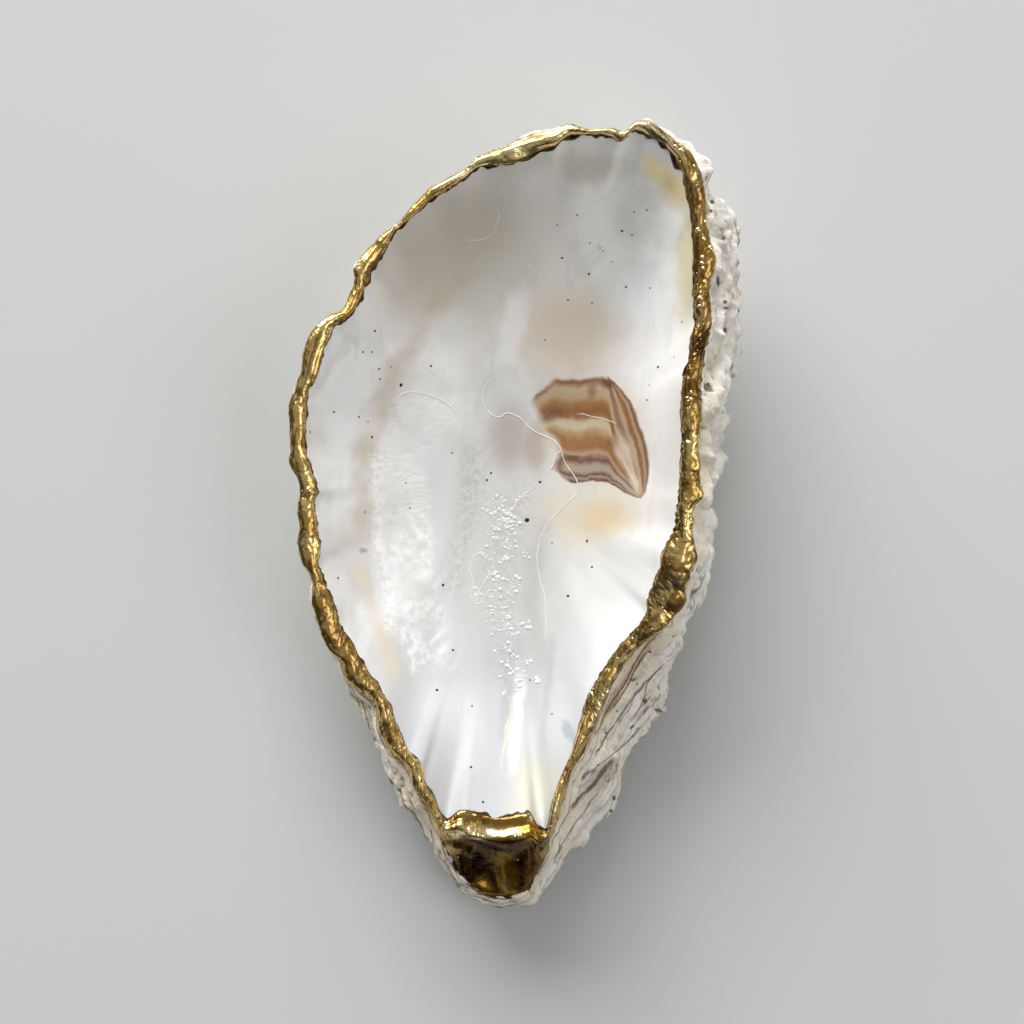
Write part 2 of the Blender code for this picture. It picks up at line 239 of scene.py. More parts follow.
def rounded(outline, heightAt, centre, pieces=8):  # the outline as a smooth radius about the centre
    corners = np.array(outline, float)
    middle = np.array(view["bowlCentre"])
    turned = np.degrees(np.arctan2(middle[1] - corners[:, 1], corners[:, 0] - middle[0]))
    points = place(corners, heightAt(turned) * mm)
    before, after, beyond = np.roll(points, 1, 0), np.roll(points, -1, 0), np.roll(points, -2, 0)
    shares = np.linspace(0, 1, pieces, endpoint=False)
    curve = [bent(before, points, after, beyond, share) for share in shares]
    angles, radii = bearing(np.concatenate(curve), centre)
    order = np.argsort(angles)
    angles, radii = angles[order], radii[order]

    def radiusAt(angle):
        return np.interp(np.asarray(angle) % 360, angles, radii, period=360)

    return radiusAt


def eased(radiusAt, reach):  # without the small bends
    def radiusEased(angle):
        return np.mean([radiusAt(angle + turn) for turn in np.linspace(-reach, reach, 9)], axis=0)

    return radiusEased


centre = place(np.array(view["bowlCentre"]), view["lipHeight"])
umbo = place(np.array(view["growthCentre"]), view["lipHeight"])
lipHeight = around(shellForm["lipHeights"])
plateFall = around(shellForm["plateFalls"])
crustHeight = around(shellForm["crustHeights"])
bowlSteepness = around(shellForm["bowlSteepness"])
underSteepness = around(shellForm["underSteepness"])
crustShows = around(shellForm["crustShows"])
lipOuter = rounded(lipOuterEdge, lipHeight, centre)
lipInner = rounded(lipInnerEdge, lipHeight, centre)
bowlEdge = eased(lipInner, 9)
crustOut = rounded(crustEdge, crustHeight, centre)


def widest(angle):
    shows = crustShows(angle)
    return shows * crustOut(angle) + (1 - shows) * (lipOuter(angle) - shellForm["hiddenInset"])


def evenAngles(count):  # angles that cut the outline into even lengths
    fine = np.linspace(0, 360, 3601)
    radius = widest(fine)
    turned = np.radians(fine)
    loop = np.stack([radius * np.cos(turned), radius * np.sin(turned)], axis=1)
    length = np.concatenate([[0], np.cumsum(np.linalg.norm(np.diff(loop, axis=0), axis=1))])
    return np.interp(np.arange(count) * length[-1] / count, length, fine)


def ring(angle, radius, height):
    turned = np.radians(angle)
    across, along = centre[0] + radius * np.cos(turned), centre[1] + radius * np.sin(turned)
    return np.stack([across, along, height + 0 * radius], axis=-1)


def bowlRing(angle, share):
    rim = lipHeight(angle) * mm - shellForm["lipRound"]
    floor = shellForm["floorHeight"]
    height = floor + (rim - floor) * share ** bowlSteepness(angle)
    radius = lipInner(angle) * share**5 + bowlEdge(angle) * (1 - share**5)
    return ring(angle, radius * share, height)


def lipRing(angle, share):  # at the hinge it is the sloping plate
    radius = lipInner(angle) * (1 - share) + lipOuter(angle) * share
    fall = plateFall(angle)
    crest = shellForm["lipRound"] * (2 * share - 1) ** 2
    height = lipHeight(angle) * mm - crest - fall * mm * share**1.25
    across = np.exp(-(((angle - shellForm["grooveAngle"]) / shellForm["grooveSpread"]) ** 2))
    groove = across * np.sin(np.pi * np.clip((share - 0.27) / 0.73, 0, 1)) * shellForm["grooveDepth"]
    ridge = np.clip(fall / 5, 0, 1) * np.exp(-(((share - 0.25) / 0.09) ** 2)) * shellForm["plateRidge"]
    return ring(angle, radius, height - groove + ridge)


def wallRing(angle, share):
    top = (lipHeight(angle) - plateFall(angle)) * mm - shellForm["lipRound"]
    height = top + (crustHeight(angle) * mm - top) * share
    bulge = shellForm["wallBulge"] * np.sin(np.pi * share) * crustShows(angle)
    radius = lipOuter(angle) * (1 - share) + widest(angle) * share
    return ring(angle, radius + bulge, height)


def underRing(angle, share):  # the widest outline drawn in towards the umbo
    edge = ring(angle, widest(angle), 0 * angle)[..., :2]
    plan = umbo + (edge - umbo) * share
    turned, distance = bearing(plan, centre)
    reach = np.minimum(distance / widest(turned), 1)
    wear = shellForm["footWear"]
    height = (crustHeight(turned) * mm + wear) * reach ** underSteepness(turned) - wear
    return np.concatenate([plan, height[..., None]], axis=-1)


def noiseAt(points, size):
    return np.array([noise.noise(Vector(point) / size) for point in points])


def lumpsAt(points, size):
    return np.array([noise.fractal(Vector(point) / size, 0.8, 2.1, 3) for point in points])


def ledgeOffset(shares, step, share):  # the sawtooth of the main ledges, as in the frame's solid
    stations = sorted([(s + step, -crustRelief["ledgeIn"]) for s in shares]
                      + [(s, crustRelief["ledgeOut"]) for s in shares])
    return np.interp(share, [s for s, offset in stations], [offset for s, offset in stations])


class Rings:  # points and faces of rings joined one to the next
    def __init__(self):
        self.points, self.faces, self.slots, self.zones, self.shares, self.angles = [], [], [], [], [], []
        self.count = 0

    def add(self, points, angles, zone, share):
        first = self.count
        self.points.append(points)
        self.angles.append(angles)
        self.zones.append(np.full(len(points), zone))
        self.shares.append(np.full(len(points), float(share)))
        self.count += len(points)
        return np.arange(first, self.count)

    def bridge(self, outer, inner, slot):
        after = np.roll(inner, -1)
        if len(inner) * 2 == len(outer):
            first, second, third = outer[0::2], outer[1::2], np.roll(outer[0::2], -1)
            sides = [(first, second, inner), (second, after, inner), (second, third, after)]
        else:
            sides = [(outer, np.roll(outer, -1), after, inner)]
        for side in sides:
            self.faces += np.stack(side, 1).tolist()
            self.slots += [slot] * len(side[0])

    def close(self, last, point, zone, slot):
        tip = self.add(np.array([point]), np.zeros(1), zone, 0)[0]
        for here, there in zip(last, np.roll(last, -1)):
            self.faces.append([int(here), int(there), int(tip)])
            self.slots.append(slot)


def thinning(share, steps):
    return next(step for beyond, step in steps if share > beyond)


def withLedges(shares, ledges, step):  # each ledge has a ring at its edge and one at its foot
    return set(shares) | {ledge + step for ledge in ledges} | set(ledges)


def shellRings():
    rings = Rings()
    angles = evenAngles(meshDetail["round"])
    nacre, lipSlot, crust = (slotNumbers[name] for name in ("nacre", "lip", "crust"))

    # The lip, outwards
    lip = []
    for share in lipShares():
        lip.append(rings.add(lipRing(angles, share), angles, zoneNumbers["lip"], share))
    for inner, outer in zip(lip, lip[1:]):
        rings.bridge(outer, inner, lipSlot)

    # The bowl, inwards
    last = lip[0]
    for share in np.linspace(1, 0, meshDetail["bowl"] + 1)[1:-1]:
        thin = thinning(share, meshDetail["bowlThinning"])
        following = rings.add(bowlRing(angles, share)[::thin], angles[::thin], zoneNumbers["bowl"], share)
        rings.bridge(last, following, nacre)
        last = following
    rings.close(last, (*centre, shellForm["floorHeight"]), zoneNumbers["bowl"], nacre)

    # The wall, down and outwards
    last = lip[-1]
    shares = np.linspace(0, 0.97, meshDetail["wall"])[1:]
    for share in sorted(withLedges(shares, crustRelief["wallLedges"], crustRelief["wallStep"])):
        following = rings.add(wallRing(angles, share), angles, zoneNumbers["wall"], share)
        rings.bridge(following, last, crust)
        last = following

    # The underside, in towards the umbo
    shares = withLedges(
        np.linspace(0.985, 0.02, meshDetail["under"]), crustRelief["growthLedges"], crustRelief["growthStep"]
    )
    for share in sorted(shares, reverse=True):
        thin = thinning(share, meshDetail["underThinning"])
        following = rings.add(underRing(angles, share)[::thin], angles[::thin], zoneNumbers["under"], share)
        if len(following) == len(last):
            rings.bridge(following, last, crust)
        else:
            rings.bridge(last[::-1], following[::-1], crust)
        last = following
    rings.close(last[::-1], (*umbo, 0), zoneNumbers["under"], crust)
    return rings


def bowlMove(points, shares):  # how far the bowl's points move along their normals
    fade = 1 - shares**4
    move = bowlRelief["waves"] * noiseAt(points, bowlRelief["waveSize"]) * fade
    return move + bowlRelief["ripples"] * noiseAt(points, bowlRelief["rippleSize"]) * np.minimum(fade * 3, 1)


def leafTurns(points, angles, shares, onWall):  # the way from the lip, and how many leaves it crosses
    height = lipHeight(angles) * mm
    wallLength = np.hypot(widest(angles) - lipOuter(angles), height - crustHeight(angles) * mm)
    edge = ring(angles, widest(angles), 0 * angles)[:, :2]
    underLength = np.linalg.norm(edge - umbo, axis=1) * crustRelief["underRun"]
    run = np.where(onWall, shares * wallLength, wallLength + (1 - shares) * underLength)
    (wander, wanderSize), (quiver, quiverSize) = crustRelief["lamellaBends"]
    wobble = wander * noiseAt(points, wanderSize) + quiver * noiseAt(points, quiverSize)
    return run, (run + wobble) / crustRelief["lamellaGap"]


def creased(points, size):  # rounds with creases between them
    return np.abs(noiseAt(points, size)) * crustRelief["creaseDepth"] - crustRelief["creaseLevel"]


def crustMove(points, angles, shares, onWall):  # the same for the crust, with what its material reads
    broken = 0.65 + 0.8 * noiseAt(points, crustRelief["brokenSize"])
    ledge = np.where(
        onWall,
        ledgeOffset(crustRelief["wallLedges"], crustRelief["wallStep"], shares),
        ledgeOffset(crustRelief["growthLedges"], crustRelief["growthStep"], shares),
    )
    ledge = ledge * broken + crustRelief["lumps"] * lumpsAt(points, crustRelief["lumpSize"])

    run, turn = leafTurns(points, angles, shares, onWall)
    leaf, crest = turn % 1, crustRelief["lamellaCrest"]
    leafShape = np.where(leaf < crest, leaf / crest, (1 - leaf) / (1 - crest))
    leaves = around(crustRelief["leafShare"])(angles)
    strength = np.clip(0.75 + 1.3 * noiseAt(points + 0.5, crustRelief["lamellaPatchSize"]), 0.05, 1.5)
    fine = (leafShape - crustRelief["lamellaLevel"]) * (strength * leaves)
    settled = np.clip(run / crustRelief["settleRun"], 0, 1)
    warp = crustRelief["puffWarp"] * noiseAt(points + 0.9, crustRelief["puffWarpSize"])
    warped = points + warp[:, None]
    puff = creased(warped, crustRelief["puffSize"])
    smallPuff = creased(warped + 0.4, crustRelief["smallPuffSize"])
    puffed = around(crustRelief["puffShare"])(angles)
    rounds = crustRelief["puffs"] * puff + crustRelief["smallPuffs"] * smallPuff
    grit = lumpsAt(points + 1.7, crustRelief["gritSize"])
    hollow = noiseAt(points + 3.1, crustRelief["pitSize"])
    pit = np.clip((hollow - crustRelief["pitLevel"]) / crustRelief["pitEdge"], 0, 1)
    rough = crustRelief["lamellae"] * fine + crustRelief["grit"] * grit - crustRelief["pits"] * pit
    move = ledge + settled * (rough + rounds * puffed - around(crustRelief["drawnIn"])(angles) * mm)
    relief = (fine + 0.5 * grit + 0.5 * (puff + smallPuff) * puffed) * settled
    return move, {"relief": relief, "growth": turn, "holes": pit * settled, "leaves": leaves}


def store(mesh, name, values):  # a number or a vector for each point of a mesh
    values = np.asarray(values, np.float32)
    kind, field = ("FLOAT", "value") if values.ndim == 1 else ("FLOAT_VECTOR", "vector")
    mesh.attributes.new(name, kind, "POINT").data.foreach_set(field, values.ravel())


def storeSeen(mesh, points):  # where each point shows in the photograph
    seen = seenAt(points)
    store(mesh, "seen", np.column_stack([seen, np.zeros(len(seen))]))


def shellMesh():
    rings = shellRings()
    points, angles = np.concatenate(rings.points), np.concatenate(rings.angles)
    zones, shares = np.concatenate(rings.zones), np.concatenate(rings.shares)
    mesh = bpy.data.meshes.new("oysterShell")
    mesh.from_pydata(points.tolist(), [], rings.faces)
    mesh.polygons.foreach_set("material_index", rings.slots)
    normals = np.zeros(len(points) * 3, np.float32)
    mesh.vertex_normals.foreach_get("vector", normals)
    normals = normals.reshape(-1, 3).astype(float)

    bowl, lip, wall, under = (zones == number for number in zoneNumbers.values())
    crust = wall | under
    move = np.zeros(len(points))
    move[bowl] = bowlMove(points[bowl], shares[bowl])
    move[lip] = bowlRelief["lipLumps"] * lumpsAt(points[lip], bowlRelief["lipLumpSize"])
    move[crust], traits = crustMove(points[crust], angles[crust], shares[crust], wall[crust])
    points = points + normals * move[:, None]
    points[:, 2] = np.maximum(points[:, 2], 0)

    middle = (points.min(axis=0) + points.max(axis=0)) / 2
    for name, values in traits.items():
        whole = np.zeros(len(points))
        whole[crust] = values
        store(mesh, name, whole)
    storeSeen(mesh, points)
    points[:, :2] -= middle[:2]
    mesh.vertices.foreach_set("co", points.astype(np.float32).ravel())
    mesh.shade_smooth()
    mesh.update()
    return mesh, middle


def linkPiece(name, mesh):
    piece = bpy.data.objects.new(name, mesh)
    bpy.context.scene.collection.objects.link(piece)
    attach(piece, "root")
    return piece


# Node maths: a Wire is a node's output, and its operators add nodes
class Wire:
    def __init__(self, net, socket):
        self.net, self.socket = net, socket

    def __add__(self, other):
        return self.net.maths("ADD", self, other)

    def __radd__(self, other):
        return self.net.maths("ADD", other, self)

    def __sub__(self, other):
        return self.net.maths("SUBTRACT", self, other)

    def __rsub__(self, other):
        return self.net.maths("SUBTRACT", other, self)

    def __mul__(self, other):
        return self.net.maths("MULTIPLY", self, other)

    def __truediv__(self, other):
        return self.net.maths("DIVIDE", self, other)


class Net:  # what shader trees and geometry trees share
    def __init__(self, tree):
        self.tree = tree

    def node(self, kind, settings=None, inputs=None):
        made = self.tree.nodes.new(kind)
        for name, value in (settings or {}).items():
            setattr(made, name, value)
        for name, value in (inputs or {}).items():
            socket = made.inputs[name]
            if isinstance(value, Wire):
                self.tree.links.new(value.socket, socket)
            elif isinstance(value, tuple) and socket.type == "RGBA":
                socket.default_value = (*value[:3], 1)
            else:
                socket.default_value = value
        return made

    def wire(self, node, output=0):
        return Wire(self, node.outputs[output])

    def maths(self, operation, first, second=0.0):
        return self.wire(self.node("ShaderNodeMath", {"operation": operation}, {0: first, 1: second}))

    def vector(self, operation, first, second=(0, 0, 0), output=0):
        inputs = {0: first, (3 if operation == "SCALE" else 1): second}
        return self.wire(self.node("ShaderNodeVectorMath", {"operation": operation}, inputs), output)

    def ramp(self, value, stops):
        made = self.node("ShaderNodeValToRGB", None, {0: value})
        stages = made.color_ramp.elements
        for number, (spot, colour) in enumerate(stops):
            stage = stages[number] if number < 2 else stages.new(spot)
            stage.position = spot
            stage.color = (*colour, 1)
        return self.wire(made)


class Look(Net):  # a material's tree
    def __init__(self, name):
        self.material = bpy.data.materials.new(name)
        self.material.use_nodes = True
        super().__init__(self.material.node_tree)
        self.tree.nodes.clear()
        self.output = self.tree.nodes.new("ShaderNodeOutputMaterial")

    def attribute(self, name, output="Fac"):
        return self.wire(self.node("ShaderNodeAttribute", {"attribute_name": name}), output)

    def body(self):
        return self.wire(self.node("ShaderNodeTexCoord"), "Object")

    def split(self, vector):
        parts = self.node("ShaderNodeSeparateXYZ", None, {0: vector})
        return self.wire(parts, 0), self.wire(parts, 1)

    def join(self, across, along):
        return self.wire(self.node("ShaderNodeCombineXYZ", None, {0: across, 1: along}))

    def smooth(self, value, low, high, start=0.0, end=1.0):  # a soft step from low to high
        made = self.node(
            "ShaderNodeMapRange",
            {"interpolation_type": "SMOOTHSTEP"},
            {"Value": value, "From Min": low, "From Max": high, "To Min": start, "To Max": end},
        )
        return self.wire(made)

    def noise(self, vector, scale, detail=3.0, roughness=0.55, distortion=0.0, output="Fac"):
        inputs = {"Vector": vector, "Scale": scale, "Detail": detail, "Roughness": roughness,
                  "Distortion": distortion}
        return self.wire(self.node("ShaderNodeTexNoise", None, inputs), output)

    def mix(self, factor, first, second):  # of two colours
        made = self.node("ShaderNodeMix", {"data_type": "RGBA"})
        for number, value in ((0, factor), (6, first), (7, second)):
            if isinstance(value, Wire):
                self.tree.links.new(value.socket, made.inputs[number])
            else:
                made.inputs[number].default_value = (*value, 1) if number else value
        return self.wire(made, 2)

    def track(self, value, points):  # a smooth curve through pairs of a value and a result
        first, last = points[0][0], points[-1][0]
        low = min(result for spot, result in points)
        reach = max(result for spot, result in points) - low
        made = self.node("ShaderNodeFloatCurve", None, {"Value": (value - first) / (last - first)})
        curve = made.mapping.curves[0]
        for number, (spot, result) in enumerate(points):
            mark = ((spot - first) / (last - first), (result - low) / reach)
            if number == 0:
                curve.points[0].location = mark
            elif number == len(points) - 1:
                curve.points[number].location = mark
            else:
                curve.points.new(*mark)
        made.mapping.update()
        return self.wire(made) * reach + low

    def blob(self, where, spot, size, turn=0.0, soft=0.5):  # 1 inside a soft-edged oval, 0 outside
        inputs = {"Vector": where, "Location": (*spot, 0), "Rotation": (0, 0, math.radians(turn)),
                  "Scale": (*size, 1e6)}
        oval = self.wire(self.node("ShaderNodeMapping", {"vector_type": "TEXTURE"}, inputs))
        return self.smooth(self.vector("LENGTH", oval, output="Value"), 1 + soft, 1 - soft)

    def stripe(self, across, along, halfWidth, soft, path, fade):  # 1 along a path, 0 beside it
        points = [(down, right) for right, down in path]
        first, last = points[0][0], points[-1][0]
        aside = self.maths("ABSOLUTE", across - self.track(along, points))
        ends = self.smooth(along, first, first + fade) * self.smooth(along, last, last - fade)
        return self.smooth(aside, halfWidth * (1 + soft), halfWidth * (1 - soft)) * ends

    def jitter(self, body, scale, detail):  # a vector that wanders about zero
        return self.vector("SUBTRACT", self.noise(body, scale, detail, output="Color"), (0.5, 0.5, 0.5))

    def shifted(self, where, jitter, reach):
        return self.vector("ADD", where, self.vector("SCALE", jitter, reach))

    def spotted(self, colour, where, places):  # with a shade over each soft-edged oval
        for shade, spot, size, turn, soft, strength in places:
            colour = self.mix(self.blob(where, spot, size, turn, soft) * strength, colour, shade)
        return colour

    def striped(self, colour, where, stripes, share=1.0, fade=30):  # with a shade along each path
        across, along = self.split(where)
        for shade, strength, halfWidth, soft, path in stripes:
            line = self.stripe(across, along, halfWidth, soft, path, fade)
            colour = self.mix(line * share * strength, colour, shade)
        return colour

    def bump(self, strength, distance, height):
        return self.wire(self.node(
            "ShaderNodeBump", None, {"Strength": strength, "Distance": distance, "Height": height}
        ))

    def patches(self, where, grain, steps):  # soft-edged patches of noise
        return self.smooth(self.noise(where, *grain), *steps)

    def finish(self, inputs):
        shader = self.node("ShaderNodeBsdfPrincipled", None, inputs)
        self.tree.links.new(shader.outputs[0], self.output.inputs["Surface"])
        return self.material


class Grow(Net):  # a Geometry Nodes tree with named inputs
    def __init__(self, name, settings):
        super().__init__(bpy.data.node_groups.new(name, "GeometryNodeTree"))
        self.name = name
        face = self.tree.interface
        face.new_socket("Geometry", in_out="INPUT", socket_type="NodeSocketGeometry")
        for label, kind in settings.items():
            face.new_socket(label, in_out="INPUT", socket_type=kind)
        face.new_socket("Geometry", in_out="OUTPUT", socket_type="NodeSocketGeometry")
        self.source = self.tree.nodes.new("NodeGroupInput")
        self.result = self.tree.nodes.new("NodeGroupOutput")

    def given(self, label):
        return self.wire(self.source, label)

    def stored(self, name, kind="FLOAT"):
        return self.wire(self.node("GeometryNodeInputNamedAttribute", {"data_type": kind}, {"Name": name}))

    def chance(self, low, high, seed):
        inputs = {2: low, 3: high, "Seed": seed}
        return self.wire(self.node("FunctionNodeRandomValue", {"data_type": "FLOAT"}, inputs), 1)

    def finish(self, geometry):
        whole = self.wire(self.node("GeometryNodeRealizeInstances", None, {0: geometry}))
        soft = self.wire(self.node("GeometryNodeSetShadeSmooth", None, {0: whole}))
        coated = self.node("GeometryNodeSetMaterial", None, {0: soft, "Material": self.given("Material")})
        self.tree.links.new(coated.outputs[0], self.result.inputs[0])

    def run(self, mesh, values):  # the tree's result on a mesh, as a plain mesh
        holder = bpy.data.objects.new(self.name, mesh)
        bpy.context.scene.collection.objects.link(holder)
        modifier = holder.modifiers.new(self.name, "NODES")
        modifier.node_group = self.tree
        for item in self.tree.interface.items_tree:
            if item.name in values:
                modifier[item.identifier] = values[item.name]
        graph = bpy.context.evaluated_depsgraph_get()
        made = bpy.data.meshes.new_from_object(holder.evaluated_get(graph), depsgraph=graph)
        holder.modifiers.remove(modifier)
        bpy.data.objects.remove(holder)
        return made


def tint(red, green, blue):  # a colour as it looks on screen, to the shader's scale
    def linear(level):
        level = level / 255
        return level / 12.92 if level <= 0.04045 else ((level + 0.055) / 1.055) ** 2.4

    return linear(red), linear(green), linear(blue)


# The mark where the muscle held on, brown bands that turn down to a tip. Its edges are pairs of
# pixels of the photograph, y for each x or x for each y
muscleScar = {
    "top": ((525, 403), (532, 398), (542, 389), (553, 379), (575, 380), (606, 379), (612, 400), (617, 420),
            (625, 440), (632, 462), (638, 485), (642, 498)),
    "bottom": ((525, 469), (552, 470), (562, 478), (572, 482), (600, 481), (608, 482), (614, 486),
               (622, 490.5), (632, 495), (642, 498.5)),
    "fold": ((375, 606), (400, 612), (420, 617), (440, 625), (462, 632), (485, 638), (500, 641)),
    "left": ((370, 553), (379, 551), (388, 543), (400, 531), (412, 537), (426, 540), (436, 551), (446, 556),
             (455, 557), (463, 552), (471, 553), (479, 562), (490, 575)),
    "right": ((370, 603), (378, 609), (388, 620), (405, 632), (425, 640), (450, 646.5), (470, 648.5),
              (485, 646.5), (492, 644), (500, 640.5)),
    "bands": (
        (0.00, tint(116, 71, 26)), (0.04, tint(134, 91, 47)), (0.10, tint(186, 162, 130)),
        (0.19, tint(178, 150, 114)), (0.25, tint(154, 108, 54)), (0.31, tint(134, 83, 30)),
        (0.37, tint(145, 96, 47)), (0.42, tint(198, 180, 150)), (0.47, tint(200, 184, 156)),
        (0.52, tint(182, 152, 110)), (0.59, tint(158, 112, 58)), (0.68, tint(152, 102, 49)),
        (0.73, tint(184, 152, 124)), (0.79, tint(114, 73, 54)), (0.84, tint(174, 152, 130)),
        (0.90, tint(172, 156, 138)), (0.945, tint(98, 61, 47)), (0.965, tint(175, 144, 126)),
        (0.99, tint(102, 69, 62)),
    ),
    "sideBands": (
        (0.00, tint(125, 88, 70)), (0.14, tint(139, 103, 81)), (0.30, tint(190, 160, 126)),
        (0.46, tint(145, 96, 54)), (0.58, tint(121, 73, 30)), (0.72, tint(182, 146, 104)),
        (0.88, tint(112, 62, 18)), (0.98, tint(141, 107, 76)),
    ),
    "marks": (  # colour, middle, half-widths, turn, softness, strength
        (tint(88, 39, 4), (607, 383), (6, 5), 0, 0.7, 0.8),
        (tint(112, 61, 14), (553, 415), (12, 5), -28, 0.7, 0.8),
        (tint(140, 92, 38), (546, 387), (9, 3.5), -40, 0.7, 0.7),
        (tint(126, 79, 30), (592, 390), (4, 9), 0, 0.7, 0.6),
        (tint(130, 79, 30), (614, 443), (5, 7), -20, 0.8, 0.8),
        (tint(226, 206, 182), (625, 452), (7, 17), -22, 0.8, 0.75),
        (tint(118, 69, 30), (558, 464), (5, 8), 15, 0.7, 0.8),
        (tint(108, 59, 38), (573, 458), (9, 2.5), 0, 0.6, 0.8),
        (tint(234, 214, 190), (634, 480), (4, 12), -20, 0.8, 0.8),
    ),
    "glow": (tint(214, 198, 176), (592, 424), (56, 52), 25, 0.35, 0.55),  # of the nacre round it
    "quiverReach": 6.0,  # of its edges, in pixels
    "cover": 0.97,
    # noises stretched across and along the bands
    "wavesStretch": (0.09, 0.05),
    "waves": (1.0, 3.0),
    "waveDepth": 0.07,
    "streakStretch": (0.35, 0.08),
    "streaks": ((1.0, 2.0), (0.45, 0.72)),
    "streakShare": 0.12,
    "streakTint": tint(190, 164, 134),
    # soft steps, from a value to a value: the fold in shares of the side, the rest in pixels
    "foldStep": (-0.06, 0.06),
    "underTop": (-0.03, 0.03),
    "besideFold": (-0.08, 0.04),
    "overBottom": (1.4, -0.6),
    "leftOfRight": (1.8, -1.2),
    "rightOfLeft": (-3.0, 8.0),
    "belowTop": (374, 381),
}

